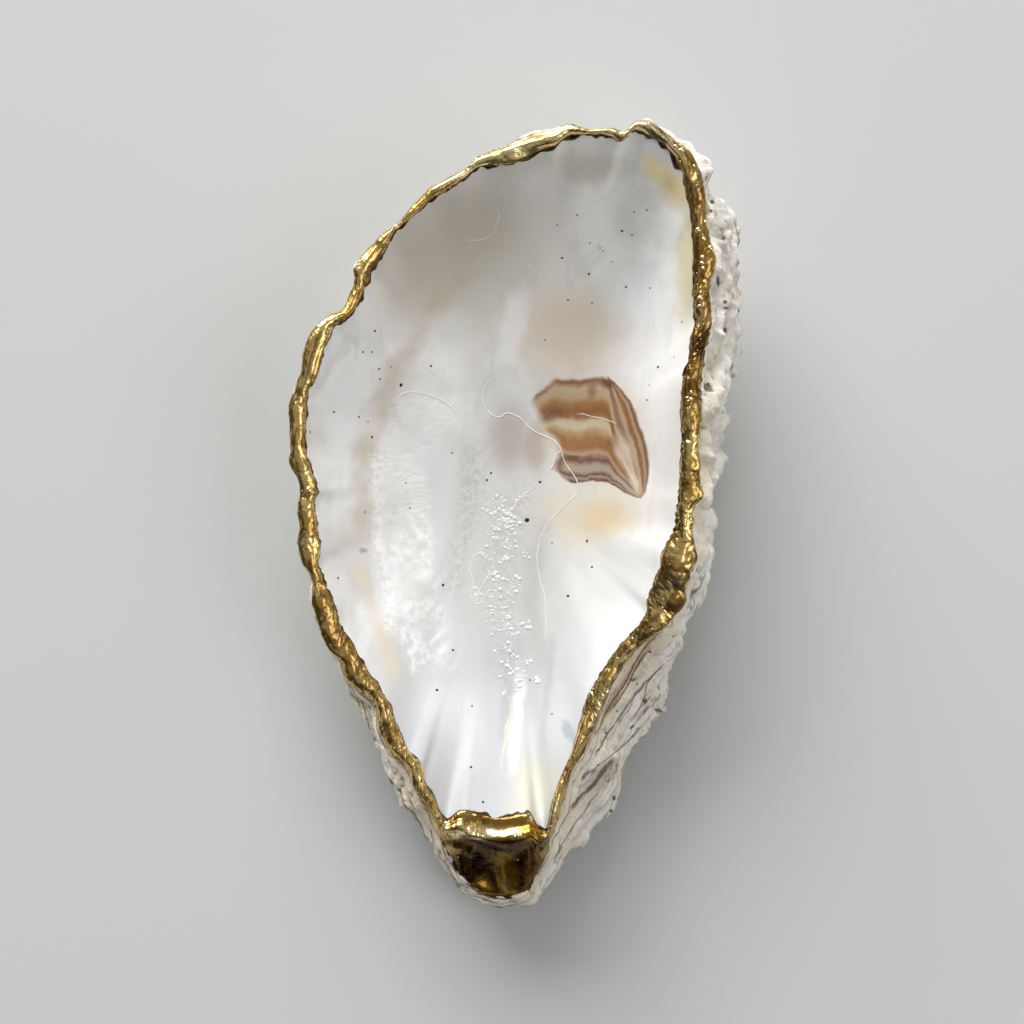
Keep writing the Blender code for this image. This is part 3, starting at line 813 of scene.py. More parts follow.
nacreLook = {
    "base": tint(250, 249, 248),
    "veil": tint(226, 224, 220),
    "glass": tint(206, 208, 210),
    # noises and their soft steps: scale, detail, roughness and distortion, then where patches start and end
    "veilPatches": ((75.0, 4.0), (0.42, 0.66)),
    "glassPatches": ((210.0, 5.0, 0.6, 0.6), (0.50, 0.66)),
    "glassStretch": (1.0, 0.45, 1.0),
    "glassShare": 0.45,
    "stripePatches": ((130.0, 3.0), (0.34, 0.62, 0.35, 1.0)),
    "grains": ((1500.0, 3.0, 0.7), (0.36, 0.62)),
    "relief": (700.0, 3.0, 0.6),
    "reliefDepth": 0.2 * mm,
    "drift": (60.0, 1.0),
    "quiver": (480.0, 2.0),
    "driftReach": 50.0,  # in pixels
    "quiverReach": 10.0,
    "roughness": (0.64, 0.90),  # of dull nacre and of the chalky patch
    "glossShare": 0.32,
    "coat": 0.30,
    # where the nacre is duller: middle, half-widths, turn, softness, strength
    "dull": (((498, 776), (84, 62), 0, 0.8, 0.95), ((618, 612), (40, 76), 24, 0.8, 0.9)),
    "shades": (  # colour, middle and half-widths in the photograph's pixels, turn, softness, strength
        # painted shade that tones down the brightly lit low bowl
        (tint(198, 199, 201), (505, 735), (150, 120), 0, 0.5, 0.9),
        (tint(204, 203, 200), (484, 530), (112, 120), 0, 0.7, 0.75),
        (tint(232, 230, 226), (668, 460), (26, 110), 0, 0.6, 0.7),
        # taupe and warm grey of the far wall, partly its own tint and partly painted shade where that wall
        # faces away from the window
        (tint(214, 208, 196), (462, 250), (104, 92), 35, 0.6, 0.85),
        (tint(192, 184, 168), (472, 232), (36, 44), 25, 0.7, 0.6),
        (tint(206, 196, 180), (418, 282), (34, 42), 35, 0.8, 0.75),
        (tint(204, 196, 176), (580, 160), (32, 15), 0, 0.6, 0.6),
        (tint(250, 250, 250), (640, 310), (34, 70), 0, 0.8, 0.7),
        (tint(254, 240, 176), (656, 162), (9, 20), -38, 0.8, 0.8),
        (tint(222, 196, 132), (671, 184), (8, 15), -15, 0.8, 0.85),
        (tint(214, 204, 160), (684, 248), (10, 76), 2, 0.7, 0.9),
        (tint(214, 196, 172), (573, 338), (46, 40), 0, 0.7, 0.8),
        (tint(184, 170, 162), (512, 440), (22, 34), 10, 0.7, 0.8),
        (tint(176, 158, 142), (541, 448), (11, 26), 12, 0.6, 0.7),
        (tint(222, 212, 190), (588, 510), (54, 24), -8, 0.7, 0.9),
        (tint(216, 184, 142), (606, 512), (30, 9), 12, 0.8, 0.6),
        (tint(214, 208, 184), (470, 780), (32, 26), 0, 0.8, 0.6),
        # painted shade in the hollows under the hinge ledge
        (tint(112, 112, 108), (444, 818), (7, 17), -25, 0.7, 0.9),
        (tint(112, 112, 116), (547, 824), (7, 17), 10, 0.7, 0.9),
        (tint(160, 164, 174), (571, 727), (4.5, 12), -18, 0.5, 0.8),
        # painted shade that tones down the brightly lit lower right wall
        (tint(208, 208, 207), (622, 600), (36, 70), 24, 0.8, 0.9),
        (tint(250, 250, 250), (450, 730), (26, 44), -20, 0.7, 0.4),
        (tint(250, 250, 250), (517, 332), (13, 34), 14, 0.5, 0.65),
        # painted light on the left wall, which faces away from the window
        (tint(246, 247, 248), (340, 430), (12, 60), 4, 0.7, 0.6),
        (tint(246, 246, 246), (450, 350), (22, 26), 30, 0.7, 0.45),
        (tint(158, 150, 142), (358, 556), (3, 3.6), 0, 0.6, 0.8),
        # painted shade that tones down the brightly lit low bowl by the hinge
        (tint(166, 167, 169), (498, 790), (84, 54), 0, 0.8, 0.95),
        (tint(204, 202, 178), (534, 782), (22, 30), 0, 0.8, 0.6),
    ),
    "stripes": (  # colour, strength, half-width, softness, path
        (tint(206, 192, 172), 0.70, 11, 0.9,
         ((478, 262), (444, 308), (412, 350), (386, 398), (368, 450), (357, 500), (352, 560))),
        (tint(226, 212, 186), 0.75, 6, 0.9,
         ((352, 556), (360, 590), (374, 618), (388, 642), (400, 672), (408, 700))),
        (tint(214, 216, 222), 0.65, 9, 0.7,
         ((446, 420), (438, 470), (436, 520), (442, 580), (456, 640), (472, 700))),
        (tint(190, 187, 181), 0.55, 9, 0.8, ((545, 500), (541, 550), (540, 600), (546, 650), (552, 690))),
        (tint(176, 176, 179), 0.6, 6, 0.8, ((500, 650), (504, 695), (500, 740), (496, 785))),
        (tint(182, 182, 184), 0.5, 4, 0.8, ((560, 620), (556, 670), (549, 720), (545, 760))),
        (tint(250, 250, 250), 0.7, 5, 0.8, ((520, 660), (520, 700), (514, 745), (508, 780))),
        (tint(226, 216, 178), 0.8, 1.2, 0.6, ((514, 690), (509, 718), (503, 742), (496, 768))),
        (tint(232, 230, 226), 0.7, 3, 0.8, ((330, 640), (352, 672), (376, 705), (398, 745), (416, 790))),
    ),
    "grainy": (  # as the stripes, broken into grains
        (tint(182, 181, 176), 0.55, 12, 0.8, ((478, 425), (470, 470), (460, 520), (452, 565), (462, 610))),
        (tint(252, 252, 252), 0.95, 6, 0.8, ((378, 440), (370, 500), (374, 550), (384, 600), (400, 650))),
        (tint(188, 188, 186), 0.6, 22, 0.8, ((512, 480), (505, 560), (504, 620), (514, 700))),
    ),
}

# The chalky patch in the bowl: its left and right sides as pairs of y and x, and soft steps in pixels
chalkPatch = {
    "left": ((385, 400), (405, 388), (440, 376), (490, 368), (530, 370), (570, 377), (610, 388), (650, 402),
             (705, 420)),
    "right": ((385, 446), (405, 458), (430, 440), (470, 431), (520, 427), (560, 430), (600, 440), (640, 452),
              (705, 462)),
    "leftStep": (-2.0, 9.0),
    "rightStep": (6.0, -4.0),
    "topStep": (386, 398),
    "bottomStep": (705, 640),
    "driftReach": 22.0,
    "quiverReach": 14.0,
    "fibreStretch": (0.075, 0.50),
    "fibreSlant": 0.22,
    "fibres": (1.0, 4.0, 0.65),
    "grains": (800.0, 3.0, 0.65),
    "grainsStep": (470, 560),  # from fibres above to grains below
    "lines": (0.38, 0.62, 0.12, 0.95),
    "whitePatches": ((190.0, 3.0, 0.6), (0.36, 0.62, 0.25, 1.0)),
    "white": tint(252, 252, 252),
    "gloss": 0.8,
}


def scarColour(look, where, colour):
    scar = muscleScar
    across, along = look.split(where)
    top, bottom = look.track(across, scar["top"]), look.track(across, scar["bottom"])
    fold, right, left = (look.track(along, scar[side]) for side in ("fold", "right", "left"))

    def stretched(stretch):
        return look.join(across * stretch[0], along * stretch[1])

    uneven = look.noise(stretched(scar["wavesStretch"]), *scar["waves"]) - 0.5
    depth = (along - top) / (bottom - top) + uneven * scar["waveDepth"]
    side = (across - fold) / (right - fold)
    bands, sideBands = look.ramp(depth, scar["bands"]), look.ramp(side, scar["sideBands"])
    inside = look.mix(look.smooth(side, *scar["foldStep"]), bands, sideBands)
    inside = look.spotted(inside, where, scar["marks"])
    streaks = look.patches(stretched(scar["streakStretch"]), *scar["streaks"])
    inside = look.mix(streaks * scar["streakShare"], inside, scar["streakTint"])
    cover = look.maths(
        "MAXIMUM", look.smooth(depth, *scar["underTop"]), look.smooth(side, *scar["besideFold"])
    )
    cover = cover * look.smooth(along - bottom, *scar["overBottom"])
    cover = cover * look.smooth(across - right, *scar["leftOfRight"])
    cover = cover * look.smooth(across - left, *scar["rightOfLeft"]) * look.smooth(along, *scar["belowTop"])
    return look.mix(cover * scar["cover"], look.spotted(colour, where, [scar["glow"]]), inside)


def chalkCover(look, where):  # how much chalk covers the nacre, and the fibres and grains in it
    patch = chalkPatch
    across, along = look.split(where)
    cover = look.smooth(across - look.track(along, patch["left"]), *patch["leftStep"])
    cover = cover * look.smooth(across - look.track(along, patch["right"]), *patch["rightStep"])
    cover = cover * look.smooth(along, *patch["topStep"]) * look.smooth(along, *patch["bottomStep"])
    wide, high = patch["fibreStretch"]
    slant = look.join(across * wide, (along + across * patch["fibreSlant"]) * high)
    down = look.smooth(along, *patch["grainsStep"])
    fibres = look.noise(slant, *patch["fibres"])
    return cover, fibres * (1 - down) + look.noise(look.body(), *patch["grains"]) * down


def nacreMaterial():
    look = Look("nacre")
    seen, body = look.attribute("seen", "Vector"), look.body()
    drift, quiver = look.jitter(body, *nacreLook["drift"]), look.jitter(body, *nacreLook["quiver"])
    loose = look.shifted(seen, drift, nacreLook["driftReach"])
    loose = look.shifted(loose, quiver, nacreLook["quiverReach"])

    colour = look.mix(look.patches(body, *nacreLook["veilPatches"]), nacreLook["base"], nacreLook["veil"])
    drawn = look.vector("MULTIPLY", body, nacreLook["glassStretch"])
    glassy = look.patches(drawn, *nacreLook["glassPatches"])
    colour = look.mix(glassy * nacreLook["glassShare"], colour, nacreLook["glass"])
    colour = look.spotted(colour, loose, nacreLook["shades"])
    patchy = look.patches(body, *nacreLook["stripePatches"])
    colour = look.striped(colour, loose, nacreLook["stripes"], patchy)
    colour = look.striped(colour, loose, nacreLook["grainy"], look.patches(body, *nacreLook["grains"]))

    near = look.shifted(seen, drift, chalkPatch["driftReach"])
    chalk, lines = chalkCover(look, look.shifted(near, quiver, chalkPatch["quiverReach"]))
    whiter = look.patches(body, *chalkPatch["whitePatches"])
    colour = look.mix(chalk * look.smooth(lines, *chalkPatch["lines"]) * whiter, colour, chalkPatch["white"])
    colour = scarColour(look, look.shifted(seen, quiver, muscleScar["quiverReach"]), colour)

    gloss = look.smooth(chalk, 0.0, 1.0, 1.0, chalkPatch["gloss"])
    for spot, size, turn, soft, strength in nacreLook["dull"]:
        gloss = gloss * (1 - look.blob(seen, spot, size, turn, soft) * strength)
    relief = look.noise(body, *nacreLook["relief"])
    return look.finish({
        "Base Color": colour,
        "Roughness": look.smooth(chalk, 0.0, 1.0, *nacreLook["roughness"]) - gloss * nacreLook["glossShare"],
        "Coat Weight": gloss * nacreLook["coat"],
        "Coat Roughness": 0.10,
        "Normal": look.bump(0.25, nacreLook["reliefDepth"], relief * 0.5),
    })


crustLook = {
    "chalk": tint(253, 250, 242),
    "cream": tint(247, 236, 214),
    "grey": tint(214, 208, 196),
    "tan": tint(206, 188, 158),
    # brown of the leaf lines, also used as painted shade in the relief's creases
    "line": tint(122, 94, 62),
    # painted shade for the pits and hollows
    "hole": tint(74, 54, 38),
    "quiver": (420.0, 3.0),
    "quiverReach": 6.0,  # in pixels
    # bands of cream and of dark leaves, along the growth and a little across the shell
    "bandStretch": (0.9, 30.0),
    "creamBands": ((1.0, 3.0), (0.44, 0.62)),
    "darkBands": ((2.3, 2.0), (0.42, 0.60)),
    "mottle": (230.0, 4.0, 0.6),
    "greyStep": (0.50, 0.66),
    "greyShare": (1.0, 0.4, 0.35, 0.75),  # least where there are most leaves
    "stains": ((120.0, 4.0, 0.6), (0.58, 0.74)),
    "stainShare": 0.6,
    "creaseStep": (-0.05, -0.55),
    "creaseShare": 0.75,
    "leafNoise": (700.0, 3.0),
    "leafTremble": 0.12,
    "leafEdge": (0.17, 0.03),
    "leafShare": 0.85,
    "hollowShare": 0.9,
    "holeStep": (0.25, 0.9),
    "holeShare": 0.8,
    "grain": (1800.0, 4.0, 0.6),
    "grainDepth": 0.4 * mm,
    "crackFade": 8,  # pixels over which a crack's ends fade
    "roughness": (0.3, 0.7, 0.42, 0.75),
    # shaded places: colour, middle, half-widths in the photograph's pixels, turn, softness, strength
    "places": (
        (tint(176, 168, 158), (722, 234), (9, 22), -8, 0.8, 0.75),
        (tint(206, 196, 182), (712, 362), (9, 12), 0, 0.7, 0.5),
        (tint(184, 176, 166), (716, 300), (5, 22), 0, 0.8, 0.6),
        (tint(150, 134, 114), (728, 307), (8, 4), 0, 0.7, 0.6),
        (tint(240, 226, 200), (640, 672), (10, 26), 34, 0.8, 0.6),
        (tint(160, 140, 112), (604, 776), (7, 20), 42, 0.8, 0.5),
    ),
    "cracks": (  # colour, strength, half-width, softness, path
        (tint(176, 146, 108), 0.7, 3.0, 0.6, ((656, 632), (642, 655), (624, 682), (602, 721))),
        (tint(124, 90, 52), 0.85, 0.8, 0.5, ((667, 627), (645, 648), (625, 683), (607, 711), (596, 736))),
        (tint(108, 76, 42), 0.85, 1.0, 0.5, ((655, 644), (640, 662), (627, 686), (610, 712))),
        (tint(116, 84, 50), 0.8, 0.7, 0.5, ((659, 668), (647, 684), (641, 706), (630, 722))),
        (tint(104, 76, 48), 0.85, 1.1, 0.7,
         ((668, 660), (652, 675), (636, 694), (620, 716), (605, 740), (594, 758))),
        (tint(96, 68, 44), 0.85, 2.4, 0.8, ((616, 756), (606, 768), (591, 787), (578, 800), (569, 814))),
        (tint(112, 84, 54), 0.8, 1.0, 0.7, ((642, 726), (629, 740), (616, 752), (600, 764), (584, 778))),
        (tint(112, 84, 54), 0.7, 0.9, 0.7, ((602, 788), (588, 806), (574, 826), (562, 845), (552, 868))),
        (tint(96, 80, 62), 0.7, 0.8, 0.6, ((732, 216), (737, 230), (739, 244), (738, 258), (735, 270))),
    ),
    # painted shade of dark hollows: middle, half-widths in the photograph's pixels and turn
    "hollows": (
        ((712, 202), (2.0, 2.0), 0), ((711, 211), (1.6, 1.8), 0), ((718, 281), (1.5, 5), 0),
        ((725, 302), (2.2, 1.8), 0), ((726, 308), (2.8, 1.0), 0), ((725, 330), (1.8, 2.6), 0),
        ((739, 311), (1.3, 2.2), 0), ((708, 384), (1.5, 1.5), 0), ((645, 701), (2.2, 2.6), 30),
        ((632, 727), (3, 1.2), -40), ((614, 798), (1.8, 2.6), 0), ((611, 811), (1.6, 1.8), 0),
        ((617, 711), (1.0, 1.0), 0), ((606, 733), (1.2, 1.2), 0), ((599, 750), (0.9, 0.9), 0),
        ((598, 765), (0.9, 0.9), 0), ((637, 684), (1.0, 1.0), 0), ((650, 652), (1.6, 1.2), 0),
    ),
}


def crustMaterial():
    look = Look("crust")
    seen, body = look.attribute("seen", "Vector"), look.body()
    loose = look.shifted(seen, look.jitter(body, *crustLook["quiver"]), crustLook["quiverReach"])
    relief, growth = look.attribute("relief"), look.attribute("growth")
    holes, leaves = look.attribute("holes"), look.attribute("leaves")
    perTurn, perMetre = crustLook["bandStretch"]
    bands = look.shifted(look.join(growth * perTurn, 0.0), body, perMetre)

    colour = look.mix(look.patches(bands, *crustLook["creamBands"]), crustLook["chalk"], crustLook["cream"])
    mottle = look.noise(body, *crustLook["mottle"])
    grey = look.smooth(mottle, *crustLook["greyStep"]) * look.smooth(leaves, *crustLook["greyShare"])
    colour = look.mix(grey, colour, crustLook["grey"])
    stains = look.patches(body, *crustLook["stains"])
    colour = look.mix(stains * crustLook["stainShare"], colour, crustLook["tan"])
    # darker brown where the relief is low: partly the brown of the leaf lines, partly painted shade in the
    # creases
    creases = look.smooth(relief, *crustLook["creaseStep"])
    colour = look.mix(creases * crustLook["creaseShare"], colour, crustLook["line"])
    tremble = (look.noise(body, *crustLook["leafNoise"]) - 0.5) * crustLook["leafTremble"]
    leafEdge = look.smooth(look.maths("FRACT", growth + tremble), *crustLook["leafEdge"])
    dark = look.patches(bands, *crustLook["darkBands"]) * leaves
    colour = look.mix(leafEdge * dark * crustLook["leafShare"], colour, crustLook["line"])

    colour = look.spotted(colour, loose, crustLook["places"])
    colour = look.striped(colour, loose, crustLook["cracks"], fade=crustLook["crackFade"])
    # painted shade in the listed hollows
    for spot, size, turn in crustLook["hollows"]:
        hollow = look.blob(seen, spot, size, turn, 0.4)
        colour = look.mix(hollow * crustLook["hollowShare"], colour, crustLook["hole"])
    # painted shade in the modelled pits
    deep = look.smooth(holes, *crustLook["holeStep"])
    colour = look.mix(deep * crustLook["holeShare"], colour, crustLook["hole"])
    grain = look.noise(body, *crustLook["grain"])
    return look.finish({
        "Base Color": colour,
        "Roughness": look.smooth(mottle, *crustLook["roughness"]),
        "Normal": look.bump(0.7, crustLook["grainDepth"], grain + mottle * 0.8),
    })


goldLook = {
    "light": tint(232, 202, 136),
    "deep": tint(192, 156, 84),
    "fleck": tint(136, 98, 44),
    # crease: painted shade for the coat's low creases, also laid along its outer edge; edge: painted dark
    # line of shade and dark reflection along the coat's inner edge
    "crease": tint(92, 58, 22),
    "edge": tint(46, 28, 12),
    "cloud": (300.0, 3.0, 0.6),
    "cloudStep": (0.36, 0.64),
    "quiver": (500.0, 2.0),
    "quiverReach": 14.0,  # in pixels
    "flecks": (1400.0, 3.0, 0.6),
    "fleckStep": (0.54, 0.70),
    "fleckShare": 0.5,
    "dipStep": (0.30, 0.85),
    "dipShare": 0.8,
    "innerEdge": (0.125, 0.05),  # of the coat's width
    "innerShare": 0.93,
    "outerEdge": (0.92, 0.975),
    "outerShare": 0.7,
    "crumple": (900.0, 3.0, 0.55, 0.5),
    "crumpleDepth": 0.3 * mm,
    "roughness": (0.3, 0.7, 0.12, 0.24),
    "dipRoughness": 0.2,
    # painted dark reflections and shade, gold tones and painted highlights: colour, middle, half-widths in
    # pixels, turn, softness, strength
    "places": (
        # the hinge plate: painted dark reflection and shade, with olive gold patches, the yellow one partly a
        # painted highlight
        (tint(82, 54, 20), (495, 874), (56, 36), 0, 0.3, 0.92),
        (tint(190, 154, 46), (507, 876), (9, 20), -14, 0.5, 0.9),
        (tint(160, 122, 48), (484, 889), (14, 7), 0, 0.5, 0.8),
        (tint(14, 10, 6), (477, 861), (11, 12), 20, 0.5, 0.97),
        (tint(40, 22, 10), (521, 866), (7, 14), 0, 0.6, 0.85),
        (tint(50, 28, 12), (462, 872), (7, 16), -25, 0.6, 0.7),
        (tint(36, 20, 8), (505, 849), (14, 3), 4, 0.5, 0.8),
        (tint(60, 34, 14), (454, 819), (8, 4), -32, 0.4, 0.9),
        (tint(50, 28, 12), (544, 840), (6, 7), 0, 0.5, 0.85),
        (tint(60, 36, 14), (454, 842), (20, 4), -6, 0.6, 0.85),
        (tint(26, 15, 7), (500, 901), (15, 3), 0, 0.5, 0.9),
        (tint(150, 114, 50), (496, 820), (40, 6), 2, 0.5, 0.9),
        (tint(140, 108, 34), (532, 830), (10, 9), 0, 0.5, 0.9),
        (tint(74, 48, 18), (496, 845), (50, 6), 2, 0.6, 0.9),
        (tint(150, 116, 62), (498, 820), (40, 4.5), 2, 0.6, 0.7),
        # painted highlights on the hinge ledge
        (tint(255, 240, 196), (498, 833), (19, 4), 2, 0.5, 0.9),
        (tint(255, 240, 196), (463, 833), (13, 2.4), -6, 0.5, 0.8),
        (tint(50, 26, 10), (701, 343), (8, 20), 8, 0.6, 0.95),
        (tint(150, 108, 48), (703, 262), (10, 40), 0, 0.6, 0.75),
        (tint(176, 142, 84), (697, 198), (9, 26), 0, 0.6, 0.85),
        (tint(120, 84, 36), (693, 385), (8, 24), 0, 0.6, 0.7),
        (tint(150, 108, 50), (310, 640), (40, 60), -30, 0.5, 0.35),
        (tint(100, 64, 26), (648, 622), (12, 3), -30, 0.5, 0.7),
        (tint(96, 64, 28), (617, 692), (4, 50), 28, 0.6, 0.75),
        # painted highlight along the lower right crest of the rim
        (tint(255, 240, 190), (609, 688), (2.5, 50), 28, 0.8, 0.8),
        # pale gold of the top rim, partly painted highlight
        (tint(250, 228, 168), (490, 158), (64, 14), -22, 0.5, 0.8),
        (tint(250, 230, 176), (600, 130), (40, 9), 0, 0.5, 0.6),
        (tint(250, 232, 184), (658, 135), (26, 11), 35, 0.5, 0.75),
    ),
}


def gildingMaterial():
    look = Look("goldLeaf")
    seen, body = look.attribute("seen", "Vector"), look.body()
    crease, lane = look.attribute("crease"), look.attribute("lane")
    cloud, flecks = look.noise(body, *goldLook["cloud"]), look.noise(body, *goldLook["flecks"])
    loose = look.shifted(seen, look.jitter(body, *goldLook["quiver"]), goldLook["quiverReach"])
    colour = look.mix(look.smooth(cloud, *goldLook["cloudStep"]), goldLook["light"], goldLook["deep"])
    colour = look.spotted(colour, loose, goldLook["places"])
    # painted shade in the coat's low creases, a painted dark line along its inner edge, and darker brown
    # towards its outer edge
    dip = look.smooth(crease + (flecks - 0.5) * 0.5, *goldLook["dipStep"])
    for cover, share, shade in (
        (look.smooth(flecks, *goldLook["fleckStep"]), "fleckShare", "fleck"),
        (dip, "dipShare", "crease"),
        (look.smooth(lane, *goldLook["innerEdge"]), "innerShare", "edge"),
        (look.smooth(lane, *goldLook["outerEdge"]), "outerShare", "crease"),
    ):
        colour = look.mix(cover * goldLook[share], colour, goldLook[shade])
    crumple = look.noise(body, *goldLook["crumple"]) + flecks * 0.2
    return look.finish({
        "Base Color": colour,
        "Metallic": 1.0,
        "Roughness": look.smooth(cloud, *goldLook["roughness"]) + dip * goldLook["dipRoughness"],
        "Normal": look.bump(0.4, goldLook["crumpleDepth"], crumple),
    })


def plainMaterial(name, colour, roughness, **more):
    return Look(name).finish({"Base Color": colour, "Roughness": roughness, **more})


goldCoat = {
    "lipFrom": 0.1,  # the lanes that cross the lip, of the coat's width
    "lipTo": 0.74,
    "round": 1400,
    "across": 30,
    "thickness": 0.12 * mm,
    "lumps": 0.17 * mm,
    "lumpSize": (4.4 * mm, 0.40),  # along the rim, and across it as a share of the coat's width
    "chips": 0.13 * mm,
    "lumpShare": (
        (-60, 0.45), (-34, 0.6), (-20, 0.8), (50, 0.6), (62, 0.5), (80, 0.3), (150, 0.5), (215, 0.6),
        (235, 0.9), (256, 0.6), (260, 0.15), (277, 0.2), (283, 0.45),
    ),
    # folds of the coat: middle and half-widths in the photograph's pixels, turn and height
    "folds": (
        ((463, 836), (13, 3.0), -6, 0.35 * mm), ((457, 846), (5, 3), 20, 0.35 * mm),
        ((470, 850), (3, 5), 35, 0.35 * mm),
        ((527, 856), (1.6, 9), -2, 0.35 * mm), ((510, 846), (12, 2.0), 4, 0.30 * mm),
        ((508, 878), (8, 17), -12, 0.45 * mm),
        ((483, 887), (8, 5), 10, 0.30 * mm), ((465, 872), (5, 4), 0, 0.25 * mm),
        ((545, 849), (4, 3), -20, 0.30 * mm),
        ((301, 430), (7, 14), 4, 0.30 * mm), ((309, 530), (7, 24), 6, 0.25 * mm),
        ((520, 147), (40, 4), -18, 0.30 * mm), ((646, 126), (16, 3), 10, 0.25 * mm),
        ((680, 570), (9, 16), 15, 0.35 * mm),
        ((672, 600), (8, 8), 30, 0.35 * mm), ((694, 520), (5, 12), 5, 0.30 * mm),
        ((697, 185), (6, 12), 0, 0.30 * mm),
    ),
    "chipSize": (1.5 * mm, 0.20),
    "sunk": 0.06 * mm,
    # how far the gold runs down the outer wall, as a share of the wall
    "outerReach": (
        (-12, 0.04), (60, 0.06), (70, 0.75), (150, 0.85), (215, 0.70), (232, 0.12), (262, 0.16),
        (277, 0.06), (300, 0.03), (330, 0.04),
    ),
    "innerWander": 0.012,
}


def foldsAt(seen):
    total = np.zeros(len(seen))
    for spot, size, turn, height in goldCoat["folds"]:
        offset = seen - spot
        cosine, sine = math.cos(math.radians(turn)), math.sin(math.radians(turn))
        across = (offset[:, 0] * cosine + offset[:, 1] * sine) / size[0]
        along = (offset[:, 1] * cosine - offset[:, 0] * sine) / size[1]
        total += height * np.exp(-(across**2) - along**2)
    return total


def coatLanes():
    return np.linspace(0, 1, goldCoat["across"])


def lipShares():  # where the coat's lanes cross the lip, so that the shell's rows lie under them
    shares = np.clip((coatLanes() - goldCoat["lipFrom"]) / (goldCoat["lipTo"] - goldCoat["lipFrom"]), 0, 1)
    return np.unique(shares)


def gildingMesh(surface):
    tree, middle = surface["tree"], surface["middle"]
    angles = evenAngles(goldCoat["round"])
    lumpShare = around(goldCoat["lumpShare"])(angles)
    turned = np.radians(angles)
    circle = np.stack([np.cos(turned), np.sin(turned), 0 * turned], 1)
    inner = goldCoat["innerWander"] * (0.8 + noiseAt(circle, 0.05) + 0.8 * noiseAt(circle + 2, 0.021))
    frayed = 1 + 0.5 * noiseAt(circle + 4, 0.06) + 0.5 * noiseAt(circle, 0.02)
    outer = np.clip(around(goldCoat["outerReach"])(angles) * frayed, 0.01, 0.95)
    turning = np.concatenate([[0], np.cumsum(np.diff(angles))])
    run = widest(angles) * np.radians(turning)
    lanes = coatLanes()
    lipFrom, lipTo = goldCoat["lipFrom"], goldCoat["lipTo"]

    def facets(size, lane, seed):  # noise drawn out along the rim
        flat = np.column_stack([run / size[0], np.full(len(run), lane / size[1]), 0 * run + seed])
        return noiseAt(flat + 0.6 * noiseAt(flat * 0.7 + 5, 1.0)[:, None], 1.0)

    shift = np.array([middle[0], middle[1], 0])
    guide = []
    for lane in lanes:
        bowl = bowlRing(angles, 1 - np.clip(inner * (1 - lane / lipFrom), 0, None))
        lip = lipRing(angles, np.clip((lane - lipFrom) / (lipTo - lipFrom), 0, 1))
        wall = wallRing(angles, outer * np.clip((lane - lipTo) / (1 - lipTo), 0, 1))
        guide.append(bowl if lane < lipFrom else lip if lane <= lipTo else wall)
    top, under, creases = [], [], []
    for lane, row in zip(lanes, guide):
        found = [tree.find_nearest(Vector(point)) for point in row - shift]
        spots = np.array([hit[0] for hit in found])
        normals = np.array([hit[1] for hit in found])
        edge = max(1 - (2 * lane - 1) ** 14, 0) ** 0.5
        lump = 0.4 + 1.1 * facets(goldCoat["lumpSize"], lane, 0.3)
        chip = 1 - 2.6 * np.abs(facets(goldCoat["chipSize"], lane, 7.7))
        rise = goldCoat["thickness"] * (0.15 + 0.85 * edge)
        rough = np.clip(lump, 0, 1) * goldCoat["lumps"] + np.clip(1 - chip, 0, 1) * goldCoat["chips"]
        rise = rise + (rough * lumpShare + foldsAt(seenAt(spots + shift))) * edge
        top.append(spots + normals * rise[:, None])
        under.append(spots - normals * goldCoat["sunk"])
        creases.append(chip * (1.15 - np.clip(lump, 0, 1)))
    rows = top + under[::-1]
    count = goldCoat["round"]
    faces = []
    for number in range(len(rows)):
        here = np.arange(count) + number * count
        there = np.arange(count) + (number + 1) % len(rows) * count
        faces += np.stack([here, there, np.roll(there, -1), np.roll(here, -1)], 1).tolist()
    mesh = bpy.data.meshes.new("gilding")
    mesh.from_pydata(np.concatenate(rows).tolist(), [], faces)
    crease = np.concatenate(creases + creases[::-1]).astype(np.float32)
    lane = np.repeat(np.concatenate([lanes, lanes[::-1]]), count).astype(np.float32)
    for name, values in (("crease", crease), ("lane", lane)):
        mesh.attributes.new(name, "FLOAT", "POINT").data.foreach_set("value", values)
    shown = np.zeros((len(mesh.vertices), 3), np.float32)
    shown[:, :2] = seenAt(np.concatenate(rows) + shift)
    mesh.attributes.new("seen", "FLOAT_VECTOR", "POINT").data.foreach_set("vector", shown.ravel())
    mesh.shade_smooth()
    mesh.update()
    return mesh


def treeOf(mesh):
    points = np.zeros(len(mesh.vertices) * 3, np.float32)
    mesh.vertices.foreach_get("co", points)
    faces = [list(face.vertices) for face in mesh.polygons]
    return BVHTree.FromPolygons(points.reshape(-1, 3).tolist(), faces)


def spotsOn(surface, pixels):  # where points of the photograph lie on a surface, with the way it faces
    middle = Vector((*surface["middle"][:2], 0))
    lens = Vector((0, 0, view["lensHeight"])) - middle
    spots, facing = [], []
    for across, along in place(np.array(pixels, float), 0):
        toward = (Vector((across, along, 0)) - middle - lens).normalized()
        hit, normal = surface["tree"].ray_cast(lens, toward)[:2]
        spots.append(hit)
        facing.append(normal)
    return np.array(spots), np.array(facing)


def pointMesh(name, spots, edges, **values):
    mesh = bpy.data.meshes.new(name)
    mesh.from_pydata(spots.tolist(), edges, [])
    for label, numbers in values.items():
        numbers = np.asarray(numbers, np.float32)
        kind = "FLOAT" if numbers.ndim == 1 else "FLOAT_VECTOR"
        field = "value" if numbers.ndim == 1 else "vector"
        mesh.attributes.new(label, kind, "POINT").data.foreach_set(field, numbers.ravel())
    return mesh


